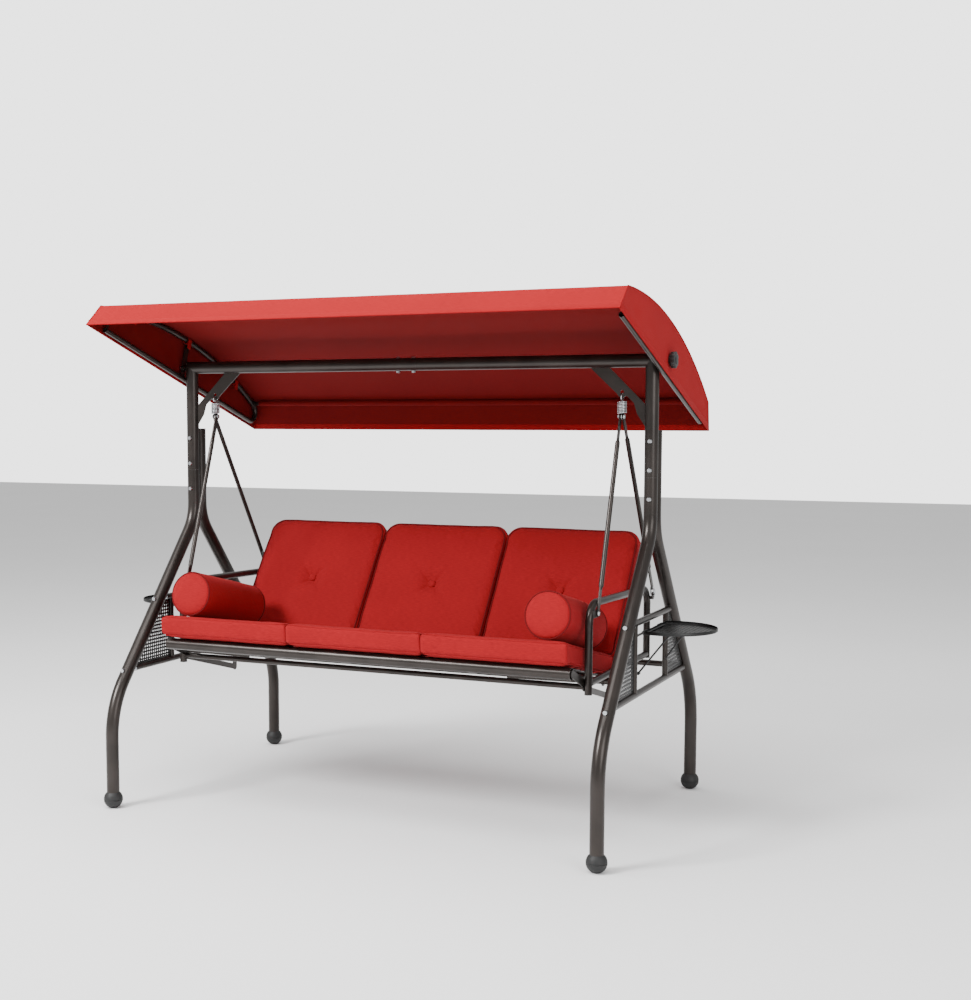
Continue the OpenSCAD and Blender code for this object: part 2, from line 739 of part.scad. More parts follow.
module stretcher_braces() {
  low = stretcher_z + stretcher_d / 2 + gap;
  color(bronze) both_sides() {
    translate([0, -arm_front_y + 1.5, 0]) rotate([90, 0, 0]) linear_extrude(3)
      polygon([[rail_half, low + 3], [rail_half, low + 14], [brace_x - 10, low + 14],
               [brace_x - 10, low], [brace_x + 12, low]]);
    pin_y(-arm_front_y - 4, -arm_front_y + 4, [brace_x, low + 7], 7);
  }
}

module recline_brackets() {
  rear = deck_point(rear_rail_y, deck_bar_z);
  color(bronze) both_sides() plate_x(bracket_x, bracket_t) difference() {
    union() {
      strip(rear, recline_axis, 20);
      translate(recline_axis) circle(d = 26);
      translate(rear) circle(d = deck_bar_d + 12);
    }
    translate(rear) circle(d = deck_bar_d + 2 * gap);
    translate(recline_axis) circle(d = pin_d + 2 * running);
  }
}

module recline_pins() {
  inner = back_frame_w / 2 - hub_l / 2;
  outer = bracket_x + bracket_t / 2;
  color(zinc) both_sides() {
    pin_x(inner - 7, outer + gap + 1, recline_axis, pin_d);
    pin_x(outer + gap, outer + gap + 4, recline_axis, 18);
    pin_x(inner - gap - 6, inner - gap, recline_axis, 17, 6);
  }
}

// --- seat cushions and bolsters -------------------------------------------

module seat_cushion(place) {
  low_rear = deck_point(seat_cushion_l, 0);
  top_rear = deck_point(seat_cushion_l, seat_cushion_t);
  top_front = top_rear.y + (top_rear.x + seat_front_y) * tan(deck_tilt);
  color(red) plate_x(place * cushion_row_w / 3, cushion_w)
    polygon([deck_origin, low_rear, top_rear, [-seat_front_y, top_front]]);
}

module bolster(side) {
  x = cushion_row_w / 2 - bolster_d / 2 - 7;
  color(red) on_side(side) on_deck()
    translate([x, 12, seat_cushion_t + gap + bolster_d / 2]) rotate([-90, 0, 0])
      cylinder(d = bolster_d, h = bolster_l);
}

// --- back ------------------------------------------------------------------

// moves to the recline axis: +Z up along the back, +Y out of its rear face
module on_back() {
  translate([0, recline_axis.x, recline_axis.y]) rotate([-back_tilt, 0, 0]) children();
}

module back_frame() {
  half = back_frame_w / 2;
  color(bronze) on_back() difference() {
    union() {
      rotate([90, 0, 0]) bent_tube([[-half, 9], [-half, back_frame_h], [half, back_frame_h], [half, 9]],
                                   [70, 70], back_tube_d, thin_wall);
      both_sides() pin_x(half - hub_l / 2, half + hub_l / 2, [0, 0], hub_d);
    }
    pin_x(-2 * half, 2 * half, [0, 0], pin_d + 2 * running);
  }
}

module back_slats() {
  reach = back_frame_w / 2 + back_tube_d / 2 - 2;
  face = -back_tube_d / 2 - gap - slat_t;
  color(bronze) on_back() for (z = [60, 150, 240, 330])
    translate([-reach, face, z - slat_w / 2]) cube([2 * reach, slat_t, slat_w]);
}

module back_cushion(place) {
  front = -recline_offset;
  r = back_corner_r;
  color(red) on_back() translate([place * cushion_row_w / 3, front + back_cushion_t, 0])
    rotate([90, 0, 0]) linear_extrude(back_cushion_t) {
      translate([-cushion_w / 2, 0]) square([cushion_w, back_cushion_l - r]);
      translate([-cushion_w / 2 + r, 0]) square([cushion_w - 2 * r, back_cushion_l]);
      for (x = [-1, 1]) intersection() {
        translate([x * (cushion_w / 2 - r), back_cushion_l - r]) circle(r = r);
        translate([x > 0 ? cushion_w / 2 - r - 1 : -cushion_w / 2, back_cushion_l - r - 1]) square(r + 1);
      }
    }
}

// --- canopy ----------------------------------------------------------------

// moves to the cover's lower front edge: +Y along the lower edge, +Z up
module on_canopy() {
  translate([0, -pair_y, bar_z]) rotate([-canopy_tilt, 0, 0]) translate([0, -pivot_u, -pivot_v]) children();
}

module canopy_outline(inset) {
  lip = inset > 0 ? -20 : 0;
  front_k = front_lean / valance_h;
  rear_k = rear_lean / valance_h;
  top = canopy_h + 10;
  intersection() {
    translate([crown_u, canopy_h - crown_r]) circle(r = crown_r - inset, $fn = 360);
    polygon([[front_k * lip + inset, lip], [canopy_l - rear_k * lip - inset, lip],
             [canopy_l - rear_lean - inset, valance_h], [canopy_l - rear_lean - inset, top],
             [front_lean + inset, top], [front_lean + inset, valance_h]]);
  }
}

module canopy_cover() {
  color(dark_red) on_canopy() difference() {
    plate_x(0, canopy_w) canopy_outline(0);
    plate_x(0, canopy_w - 2 * cover_t) canopy_outline(cover_t);
    pin_x(-canopy_w, canopy_w, [pivot_u, pivot_v], 14);
  }
}

// bow and lower tube bent in one piece, with the pivot strut across it
module canopy_hoop(side) {
  end = hoop_end;
  corner = [end.x + (end.y - hoop_low_v) / tan(hoop_turn), hoop_low_v];
  crown = [0, hoop_r / cos(hoop_turn) - hoop_base + hoop_low_v];
  bow_v = hoop_r - hoop_base + hoop_low_v;
  color(bronze) on_side(side) on_canopy() difference() {
    union() {
      in_side_plane(hoop_x) translate([crown_u, 0])
        bent_tube([[-end.x - 6, hoop_low_v], corner, crown,
                   [-end.x - 5 * cos(hoop_turn), end.y - 5 * sin(hoop_turn)]],
                  [hoop_corner_r, hoop_r], hoop_d, thin_wall);
      plate_x(hoop_x, strut_t) {
        translate([pivot_u - strut_w / 2, hoop_low_v]) square([strut_w, bow_v - hoop_low_v - 1]);
        translate([crown_u - end.x - 2, hoop_low_v]) square([12, end.y - hoop_low_v]);
      }
    }
    pin_x(0, canopy_w, [pivot_u, pivot_v], pin_d + 0.6);
  }
}

module canopy_bars() {
  l = 2 * (hoop_x - hoop_d / 2 - gap - bend_step);
  color(bronze) on_canopy() for (s = [-1, 1])
    translate([0, crown_u + s * (hoop_end.x - 5), hoop_end.y - 1]) tube_x(l, canopy_bar_d, thin_wall);
}

// lobed knob with its clamping bolt
module knob(side) {
  face = canopy_w / 2 + 2 * gap;
  lobes = 6;
  grip = 18;
  color(black) on_side(side) translate([0, -pair_y, bar_z]) {
    pin_x(leg_x + 14, face + 1, [0, 0], pin_d);
    pin_x(face, face + 6, [0, 0], 0.55 * knob_d);
    pin_x(face + 4, face + 4 + grip, [0, 0], 0.72 * knob_d);
    for (i = [0:lobes - 1])
      pin_x(face + 4.5, face + 3.5 + grip, 0.32 * knob_d * [cos(i * 360 / lobes), sin(i * 360 / lobes)],
            0.36 * knob_d);
  }
}

front_leg(-1);  // front_leg_left
front_leg(1);  // front_leg_right
rear_leg(-1);  // rear_leg_left
rear_leg(1);  // rear_leg_right
foot_caps();
top_frame(-1);  // top_frame_left
top_frame(1);  // top_frame_right
joint_sleeves();
gusset(-1);  // gusset_left
gusset(1);  // gusset_right
side_frame(-1);  // side_frame_left
side_frame(1);  // side_frame_right
side_screens(-1);  // side_screens_left
side_screens(1);  // side_screens_right
rear_bar();
upright_bolts();
side_frame_bolts();
leg_plugs();
arm_plugs();
tray(-1);  // tray_left
tray(1);  // tray_right
tray_bail(-1);  // tray_bail_left
tray_bail(1);  // tray_bail_right
spring(-1);  // spring_left
spring(1);  // spring_right
front_rod(-1);  // front_rod_left
front_rod(1);  // front_rod_right
rear_rod(-1);  // rear_rod_left
rear_rod(1);  // rear_rod_right
hanger_bolts();
quick_links();
arm_frame(-1);  // arm_frame_left
arm_frame(1);  // arm_frame_right
seat_side_plates();
front_rail();
rear_rail();
deck_bars();
deck_slats();
front_stretcher();
stretcher_braces();
recline_brackets();
recline_pins();
seat_cushion(-1);  // seat_cushion_left
seat_cushion(0);  // seat_cushion_middle
seat_cushion(1);  // seat_cushion_right
bolster(-1);  // bolster_left
bolster(1);  // bolster_right
back_frame();
back_slats();
back_cushion(-1);  // back_cushion_left
back_cushion(0);  // back_cushion_middle
back_cushion(1);  // back_cushion_right
canopy_hoop(-1);  // canopy_hoop_left
canopy_hoop(1);  // canopy_hoop_right
canopy_bars();
canopy_cover();
knob(-1);  // knob_left
knob(1);  // knob_right
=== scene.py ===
import bpy
import bmesh
import json
import math
from mathutils import Matrix, Vector, noise
from mathutils.bvhtree import BVHTree


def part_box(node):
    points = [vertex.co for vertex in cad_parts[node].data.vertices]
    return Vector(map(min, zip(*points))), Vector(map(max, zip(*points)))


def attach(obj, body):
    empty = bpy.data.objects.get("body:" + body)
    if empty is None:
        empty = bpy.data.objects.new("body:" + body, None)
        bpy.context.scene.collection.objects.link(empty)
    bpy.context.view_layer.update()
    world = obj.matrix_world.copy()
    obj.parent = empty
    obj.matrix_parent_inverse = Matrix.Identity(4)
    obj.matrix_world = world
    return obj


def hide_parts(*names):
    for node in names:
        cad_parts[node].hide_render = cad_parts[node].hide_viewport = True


bl_info = {
    "name": "Three-Seat Canopy Swing",
    "version": (1, 0, 0),
    "blender": (4, 5, 0),
    "location": "3D View > Sidebar > Swing",
    "description": "Cushions, canopy cloth, springs, screens and finishes for the canopy swing",
    "category": "Object",
}

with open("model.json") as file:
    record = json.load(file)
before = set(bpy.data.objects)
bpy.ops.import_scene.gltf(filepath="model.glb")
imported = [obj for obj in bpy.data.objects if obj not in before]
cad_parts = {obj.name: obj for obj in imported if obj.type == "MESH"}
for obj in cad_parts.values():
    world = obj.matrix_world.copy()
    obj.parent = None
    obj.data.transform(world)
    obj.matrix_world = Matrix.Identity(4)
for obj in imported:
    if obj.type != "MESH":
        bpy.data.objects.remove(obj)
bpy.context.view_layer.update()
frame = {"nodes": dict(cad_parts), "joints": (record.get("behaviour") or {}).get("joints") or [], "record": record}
MM = 0.001


# ---------------------------------------------------------------- the frame's own sizes

def node_box(name):
    low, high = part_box(name)
    return Vector(low), Vector(high)


def joint_of(name):
    return next(j for j in frame["joints"] if j["name"] == name)


SEAT_LOW, SEAT_HIGH = node_box("seat_cushion_middle")
BACK_LOW, BACK_HIGH = node_box("back_cushion_middle")
COVER_LOW, COVER_HIGH = node_box("canopy_cover")
PIVOT = Vector(joint_of("canopy_tilt")["pos_m"])
HINGE = Vector(joint_of("back_recline")["pos_m"])
DECK_TILT = math.radians(12.9)
BACK_TILT = math.radians(36)
CANOPY_TILT = math.radians(18.3)


# ---------------------------------------------------------------- small shared tools

def linear(code):
    """A linear RGBA colour from an sRGB hex code."""
    parts = [int(code[i:i + 2], 16) / 255 for i in (1, 3, 5)]
    return tuple(((c + 0.055) / 1.055) ** 2.4 if c > 0.04045 else c / 12.92 for c in parts) + (1.0,)


def new_material(name):
    material = bpy.data.materials.new(name)
    material.use_nodes = True
    return material, material.node_tree.nodes["Principled BSDF"]


def add_node(material, kind, inputs=None, **settings):
    """Adds a node, sets its properties, and sets or links its inputs."""
    node = material.node_tree.nodes.new("ShaderNode" + kind)
    for key, value in settings.items():
        setattr(node, key, value)
    for key, value in (inputs or {}).items():
        if isinstance(value, bpy.types.NodeSocket):
            material.node_tree.links.new(value, node.inputs[key])
        else:
            node.inputs[key].default_value = value
    return node


def link(material, output, socket):
    material.node_tree.links.new(output, socket)


def paint(obj, material):
    obj.data.materials.clear()
    obj.data.materials.append(material)


def deselect():
    if bpy.context.mode != "OBJECT":
        bpy.ops.object.mode_set(mode="OBJECT")
    bpy.ops.object.select_all(action="DESELECT")


def only(obj):
    deselect()
    obj.select_set(True)
    bpy.context.view_layer.objects.active = obj


def named(name):
    """The object that an operator has just added, under its own name."""
    obj = bpy.context.object
    obj.name = name
    obj.data.name = name
    return obj


def apply_place(obj):
    only(obj)
    bpy.ops.object.transform_apply(location=True, rotation=True, scale=True)


def apply_modifiers(obj):
    only(obj)
    for modifier in list(obj.modifiers):
        bpy.ops.object.modifier_apply(modifier=modifier.name)


def modify(obj, kind, **settings):
    modifier = obj.modifiers.new(kind.title(), kind)
    for key, value in settings.items():
        setattr(modifier, key, value)
    return modifier


def smooth(obj, angle=40):
    only(obj)
    bpy.ops.object.shade_smooth_by_angle(angle=math.radians(angle))


def joined(pieces, name):
    deselect()
    for piece in pieces:
        piece.select_set(True)
    bpy.context.view_layer.objects.active = pieces[0]
    if len(pieces) > 1:
        bpy.ops.object.join()
    obj = bpy.context.object
    obj.name = name
    obj.data.name = name
    return obj


def copied(obj, name, matrix):
    """A copy with its own mesh, moved by the matrix."""
    twin = obj.copy()
    twin.data = obj.data.copy()
    twin.name = name
    twin.data.name = name
    bpy.context.collection.objects.link(twin)
    twin.data.transform(matrix)
    if matrix.determinant() < 0:
        twin.data.flip_normals()
    return twin


def cylinder(name, radius, depth, matrix, vertices=32):
    deselect()
    bpy.ops.mesh.primitive_cylinder_add(vertices=vertices, radius=radius, depth=depth)
    obj = named(name)
    obj.data.transform(matrix)
    return obj


def tube_along(name, points, radius, closed=False, sides=10):
    """A round cord or wire swept along points."""
    deselect()
    data = bpy.data.curves.new(name, "CURVE")
    data.dimensions = "3D"
    data.bevel_depth = radius
    data.bevel_resolution = max(1, sides // 4)
    data.use_fill_caps = not closed
    spline = data.splines.new("POLY")
    spline.points.add(len(points) - 1)
    for point, co in zip(spline.points, points):
        point.co = (*co, 1)
    spline.use_cyclic_u = closed
    obj = bpy.data.objects.new(name, data)
    bpy.context.collection.objects.link(obj)
    only(obj)
    bpy.ops.object.convert(target="MESH")
    smooth(obj, 60)
    return obj


def place(obj, body, material, replaces=()):
    paint(obj, material)
    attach(obj, body)
    if replaces:
        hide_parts(*replaces)
    return obj



# ---------------------------------------------------------------- materials

def woven_cloth(name, hue, light, dark, tilt):
    """Solution-dyed woven polyester: matt, with slubby cross threads a shade lighter and darker."""
    material, shader = new_material(name)
    place_of = add_node(material, "TexCoord").outputs["Object"]
    level = add_node(material, "Mapping", {"Vector": place_of, "Rotation": (tilt, 0, 0)}).outputs[0]
    axes = add_node(material, "SeparateXYZ", {0: level}).outputs
    along = add_node(material, "Math", {0: axes["Y"], 1: axes["Z"]}, operation="ADD").outputs[0]
    flat = add_node(material, "CombineXYZ", {"X": axes["X"], "Y": along}).outputs[0]
    # slubs about 18 mm long and 2.4 mm high: real ones are 1 mm, drawn coarser so that they show
    streaks = add_node(material, "Mapping", {"Vector": flat, "Scale": (55, 420, 1)}).outputs[0]
    slub = add_node(material, "TexNoise", {"Vector": streaks, "Scale": 1.0, "Detail": 3.0, "Roughness": 0.65})
    broad = add_node(material, "TexNoise", {"Vector": place_of, "Scale": 5.0, "Detail": 2.0})
    ramp = add_node(material, "ValToRGB", {0: slub.outputs["Fac"]})
    ramp.color_ramp.elements[0].position = 0.22
    ramp.color_ramp.elements[0].color = linear(dark)
    ramp.color_ramp.elements[1].position = 0.78
    ramp.color_ramp.elements[1].color = linear(light)
    middle = ramp.color_ramp.elements.new(0.5)
    middle.color = linear(hue)
    shade = add_node(material, "MapRange", {"Value": broad.outputs["Fac"], "To Min": 0.9, "To Max": 1.08}).outputs[0]
    tint = add_node(material, "HueSaturation", {"Color": ramp.outputs["Color"], "Value": shade}).outputs[0]
    link(material, tint, shader.inputs["Base Color"])
    # warp and weft every 3 mm: real threads are under 1 mm, drawn coarser so that they show
    warp = add_node(material, "TexWave", {"Vector": flat, "Scale": 105.0, "Distortion": 0.4, "Detail": 1.0},
                    bands_direction="X").outputs["Fac"]
    weft = add_node(material, "TexWave", {"Vector": flat, "Scale": 105.0, "Distortion": 0.4, "Detail": 1.0},
                    bands_direction="Y").outputs["Fac"]
    weave = add_node(material, "Math", {0: warp, 1: weft}, operation="MAXIMUM").outputs[0]
    height = add_node(material, "Math", {0: weave, 1: slub.outputs["Fac"]}, operation="ADD").outputs[0]
    bump = add_node(material, "Bump", {"Height": height, "Strength": 0.35, "Distance": 0.0005}).outputs[0]
    link(material, bump, shader.inputs["Normal"])
    shader.inputs["Roughness"].default_value = 0.88
    shader.inputs["Specular IOR Level"].default_value = 0.15
    shader.inputs["Sheen Weight"].default_value = 0.12
    shader.inputs["Sheen Roughness"].default_value = 0.45
    shader.inputs["Sheen Tint"].default_value = linear("#ff5a55")
    return material


def powder_coat(name, hue, pale, metallic, roughness):
    """Baked powder coat on steel: satin, with a faint orange-peel skin and a little colour drift."""
    material, shader = new_material(name)
    place_of = add_node(material, "TexCoord").outputs["Object"]
    drift = add_node(material, "TexNoise", {"Vector": place_of, "Scale": 7.0, "Detail": 4.0})
    ramp = add_node(material, "ValToRGB", {0: drift.outputs["Fac"]})
    ramp.color_ramp.elements[0].position = 0.35
    ramp.color_ramp.elements[0].color = linear(hue)
    ramp.color_ramp.elements[1].position = 0.75
    ramp.color_ramp.elements[1].color = linear(pale)
    link(material, ramp.outputs["Color"], shader.inputs["Base Color"])
    gloss = add_node(material, "MapRange", {"Value": drift.outputs["Fac"], "To Min": roughness - 0.04,
                                            "To Max": roughness + 0.06}).outputs[0]
    link(material, gloss, shader.inputs["Roughness"])
    # orange peel about 2 mm across
    peel = add_node(material, "TexNoise", {"Vector": place_of, "Scale": 500.0, "Detail": 1.0}).outputs["Fac"]
    bump = add_node(material, "Bump", {"Height": peel, "Strength": 0.12, "Distance": 0.0002}).outputs[0]
    link(material, bump, shader.inputs["Normal"])
    shader.inputs["Metallic"].default_value = metallic
    return material


def zinc_plate():
    """Bright zinc-plated steel: a hard white metal with faint cloudy spangle."""
    material, shader = new_material("bright_zinc_plated_steel")
    place_of = add_node(material, "TexCoord").outputs["Object"]
    cloud = add_node(material, "TexNoise", {"Vector": place_of, "Scale": 90.0, "Detail": 3.0})
    ramp = add_node(material, "ValToRGB", {0: cloud.outputs["Fac"]})
    ramp.color_ramp.elements[0].color = linear("#a9adb1")
    ramp.color_ramp.elements[1].color = linear("#d3d5d7")
    link(material, ramp.outputs["Color"], shader.inputs["Base Color"])
    gloss = add_node(material, "MapRange", {"Value": cloud.outputs["Fac"], "To Min": 0.2, "To Max": 0.38}).outputs[0]
    link(material, gloss, shader.inputs["Roughness"])
    shader.inputs["Metallic"].default_value = 1.0
    return material


def moulded(name, hue, pale, roughness, grain):
    """Moulded rubber or nylon: matt black with a fine spark-eroded grain."""
    material, shader = new_material(name)
    place_of = add_node(material, "TexCoord").outputs["Object"]
    spark = add_node(material, "TexNoise", {"Vector": place_of, "Scale": grain, "Detail": 4.0})
    dust = add_node(material, "TexNoise", {"Vector": place_of, "Scale": 30.0, "Detail": 3.0})
    ramp = add_node(material, "ValToRGB", {0: dust.outputs["Fac"]})
    ramp.color_ramp.elements[0].color = linear(hue)
    ramp.color_ramp.elements[1].color = linear(pale)
    link(material, ramp.outputs["Color"], shader.inputs["Base Color"])
    gloss = add_node(material, "MapRange", {"Value": dust.outputs["Fac"], "To Min": roughness - 0.08,
                                            "To Max": roughness + 0.08}).outputs[0]
    link(material, gloss, shader.inputs["Roughness"])
    bump = add_node(material, "Bump", {"Height": spark.outputs["Fac"], "Strength": 0.25,
                                       "Distance": 0.0002}).outputs[0]
    link(material, bump, shader.inputs["Normal"])
    return material


def pale_floor():
    """Matt white studio floor with a barely visible mottle."""
    material, shader = new_material("matt_white_floor")
    place_of = add_node(material, "TexCoord").outputs["Object"]
    cloud = add_node(material, "TexNoise", {"Vector": place_of, "Scale": 0.8, "Detail": 4.0})
    ramp = add_node(material, "ValToRGB", {0: cloud.outputs["Fac"]})
    ramp.color_ramp.elements[0].color = linear("#f3f3f3")
    ramp.color_ramp.elements[1].color = linear("#f8f8f8")
    link(material, ramp.outputs["Color"], shader.inputs["Base Color"])
    shader.inputs["Roughness"].default_value = 0.9
    return material


MATERIALS = {}


def material_for(key):
    """Each finish is made once, when a piece first needs it."""
    look = bpy.context.scene.swing_looks
    if key not in MATERIALS:
        MATERIALS[key] = {
            "seat_cloth": lambda: woven_cloth("woven_polyester_seat", look.cushion_red, "#9a191e", "#7b0e13", DECK_TILT),
            "back_cloth": lambda: woven_cloth("woven_polyester_back", look.cushion_red, "#9a191e", "#7b0e13", BACK_TILT),
            "canopy_cloth": lambda: woven_cloth("coated_polyester_canopy", look.canopy_red, "#9a1419", "#7f0b10",
                                                CANOPY_TILT),
            # the underside is the canopy cloth darkened: painted shade under the canopy
            "canopy_underside_shade": lambda: woven_cloth("canopy_underside_painted_shade", look.underside_shade_red, "#6e0709", "#5a0406",
                                                 CANOPY_TILT),
            "piping_cloth": lambda: woven_cloth("polyester_piping", look.piping_red, "#6a1013", "#520a0d", 0),
            "bronze": lambda: powder_coat("bronze_powder_coat", look.frame_bronze, "#3a3431", 0.55, 0.3),
            "black_coat": lambda: powder_coat("black_powder_coat", "#0f0f0f", "#191919", 0.2, 0.42),
            "zinc": zinc_plate,
            "rubber": lambda: moulded("moulded_black_rubber", "#0e0e0e", "#1c1c1c", 0.6, 900.0),
            "nylon": lambda: moulded("moulded_black_nylon", "#0b0b0b", "#171717", 0.45, 1400.0),
            "floor": pale_floor,
        }[key]()
    return MATERIALS[key]


# ---------------------------------------------------------------- padded pieces

def swell(obj, voxel, cap, pressure=4.0):
    """Fills a closed cover with stuffing: remesh, inflate by cloth, limit the swelling, subdivide."""
    only(obj)
    obj.data.remesh_voxel_size = voxel
    bpy.ops.object.voxel_remesh()
    start = [v.co.copy() for v in obj.data.vertices]
    cloth = modify(obj, "CLOTH")
    cloth.settings.use_pressure = True
    cloth.settings.uniform_pressure_force = pressure
    cloth.settings.effector_weights.gravity = 0
    cloth.settings.quality = 5
    cloth.point_cache.frame_start = 1
    cloth.point_cache.frame_end = 20
    for step in range(1, 21):
        bpy.context.scene.frame_set(step)
    apply_modifiers(obj)
    bpy.context.scene.frame_set(1)
    for v, co in zip(obj.data.vertices, start):
        move = v.co - co
        if move.length > cap:
            v.co = co + move.normalized() * cap
    modify(obj, "SUBSURF", levels=1, render_levels=1)
    apply_modifiers(obj)
    only(obj)
    bpy.ops.object.shade_smooth()


def fill_out(obj, low, high, push=(0.0, 0.0, 0.0)):
    """Stretches a stuffed piece to its own space; push presses a side flat against what stands next to it."""
    points = [v.co for v in obj.data.vertices]
    for axis in range(3):
        first, last = min(p[axis] for p in points), max(p[axis] for p in points)
        grow = (high[axis] - low[axis] + 2 * push[axis]) / (last - first)
        for p in points:
            p[axis] = min(high[axis], max(low[axis], low[axis] - push[axis] + (p[axis] - first) * grow))


def follow_surface(obj, points, lift):
    """Moves a line of points onto the nearest part of a cushion, standing proud by lift."""
    tree = BVHTree.FromPolygons([v.co for v in obj.data.vertices], [p.vertices for p in obj.data.polygons])
    found = []
    for point in points:
        spot, normal, _, _ = tree.find_nearest(point)
        found.append(spot + normal * lift)
    count = len(found)
    for _ in range(3):
        found = [(found[i - 1] + found[i] * 2 + found[(i + 1) % count]) / 4 for i in range(count)]
    return found


def pinch_along(obj, points, depth, width):
    """Pulls the cover in along a seam."""
    from mathutils.kdtree import KDTree
    tree = KDTree(len(points))
    for i, point in enumerate(points):
        tree.insert(point, i)
    tree.balance()
    normals = [v.normal.copy() for v in obj.data.vertices]
    for v, normal in zip(obj.data.vertices, normals):
        _, _, far = tree.find(v.co)
        if far < width:
            v.co -= normal * depth * (1 - far / width) ** 2


def ripple(obj, seed, depth):
    """Slow, shallow unevenness of the filling."""
    shift = Vector((seed * 3.7, seed * 1.3, seed * 2.1))
    normals = [v.normal.copy() for v in obj.data.vertices]
    for v, normal in zip(obj.data.vertices, normals):
        lift = noise.noise(v.co * 9 + shift) + 0.5 * noise.noise(v.co * 21 + shift)
        v.co += normal * lift * depth


def tuft(obj, centre, depth, reach):
    """Draws the face in at a button, with creases that run out from it to the corners."""
    for v in obj.data.vertices:
        away = Vector((v.co.x - centre.x, v.co.z - centre.z))
        if v.co.y < centre.y and away.length < reach * 2.2:
            pull = math.exp(-(away.length / (reach * 0.42)) ** 2)
            angle = math.atan2(away.y, away.x)
            spokes = max(0.0, math.cos(4 * angle + math.pi)) ** 3
            crease = 0.28 * spokes * math.exp(-(away.length / reach) ** 2) * min(1, away.length / (reach * 0.3))
            v.co.y += depth * (pull + crease)


def ring_points(outline, y, step=0.008):
    """Points at an even step round an outline in the local XZ plane, at depth y."""
    points = []
    for i, a in enumerate(outline):
        b = outline[(i + 1) % len(outline)]
        count = max(1, round((b - a).length / step))
        points += [Vector((a.x + (b.x - a.x) * k / count, y, a.y + (b.y - a.y) * k / count)) for k in range(count)]
    return points


def round_corner(cx, cz, radius, first, last, count=10):
    return [Vector((cx + radius * math.cos(math.radians(first + (last - first) * k / count)),
                    cz + radius * math.sin(math.radians(first + (last - first) * k / count))))
            for k in range(count + 1)]


def box_blank(name, size, centre):
    deselect()
    bpy.ops.mesh.primitive_cube_add(size=1, location=centre)
    obj = named(name)
    obj.scale = size
    apply_place(obj)
    return obj


def bevel_edges(obj, test, offset, segments):
    """Bevels the edges whose midpoint and direction pass the test."""
    only(obj)
    bpy.ops.object.mode_set(mode="EDIT")
    bpy.ops.mesh.select_mode(type="EDGE")
    bpy.ops.mesh.select_all(action="DESELECT")
    mesh = bmesh.from_edit_mesh(obj.data)
    for edge in mesh.edges:
        a, b = (v.co for v in edge.verts)
        edge.select = test((a + b) / 2, (b - a).normalized())
    mesh.select_flush(False)
    bmesh.update_edit_mesh(obj.data)
    bpy.ops.mesh.bevel(offset=offset, segments=segments, affect="EDGES")
    bpy.ops.object.mode_set(mode="OBJECT")


def seat_matrix(x):
    """Local x across, y along the deck to the rear, z out of the deck."""
    corner = Vector((x, SEAT_LOW.y, SEAT_LOW.z + SEAT_SIZE.y * math.sin(DECK_TILT)))
    return Matrix.Translation(corner) @ Matrix.Rotation(-DECK_TILT, 4, "X")


def back_matrix(x):
    """Local x across, y out of the rear face, z up along the back; y 0 is the front face."""
    turn = Matrix.Rotation(-BACK_TILT, 4, "X")
    return Matrix.Translation(Vector((x, HINGE.y, HINGE.z))) @ turn @ Matrix.Translation((0, -BACK_OFFSET, 0))


SEAT_SIZE = Vector((SEAT_HIGH.x - SEAT_LOW.x, 0.478, 0.078))
BACK_SIZE = Vector((BACK_HIGH.x - BACK_LOW.x, 0.080, 0.508))
BACK_OFFSET = 0.094
BACK_CORNER = 0.062


def make_seat_cushion(place_name, x, seed, look):
    wide, long, thick = SEAT_SIZE
    shrink = look.swell_room
    obj = box_blank(f"seat_pad_{place_name}", (wide - 2 * shrink, long - 2 * shrink, thick - 2 * shrink),
                    (0, long / 2, thick / 2))
    lean = (thick - 2 * shrink) * math.tan(DECK_TILT)
    for v in obj.data.vertices:
        if v.co.y < long / 2 and v.co.z > thick / 2:
            v.co.y -= lean
    bevel_edges(obj, lambda mid, way: True, 0.010, 3)
    swell(obj, look.voxel, look.seat_cap)
    ripple(obj, seed, 0.0014)
    front = -thick * math.tan(DECK_TILT)
    fill_out(obj, (-wide / 2, front, 0), (wide / 2, long, thick), (0.003, 0.002, 0.0005))
    half = wide / 2 - 0.004
    seams = []
    for z, y0 in ((thick - 0.006, front + 0.006), (0.006, 0.004)):
        outline = (round_corner(half - 0.02, y0 + 0.02, 0.02, -90, 0) + round_corner(half - 0.02, long - 0.024, 0.02, 0, 90)
                   + round_corner(-half + 0.02, long - 0.024, 0.02, 90, 180)
                   + round_corner(-half + 0.02, y0 + 0.02, 0.02, 180, 270))
        line = [Vector((p.x, p.z, z)) for p in ring_points(outline, 0)]
        line = follow_surface(obj, line, -0.0005)
        pinch_along(obj, line, 0.0025, 0.012)
        seams.append(line)
    cords = [tube_along(f"seat_piping_{place_name}_{i}", line, 0.0027, closed=True) for i, line in enumerate(seams)]
    cord = joined(cords, f"seat_piping_{place_name}")
    for piece in (obj, cord):
        piece.data.transform(seat_matrix(x))
    place(obj, "seat", material_for("seat_cloth"), [f"seat_cushion_{place_name}"])
    place(cord, "seat", material_for("seat_cloth"))


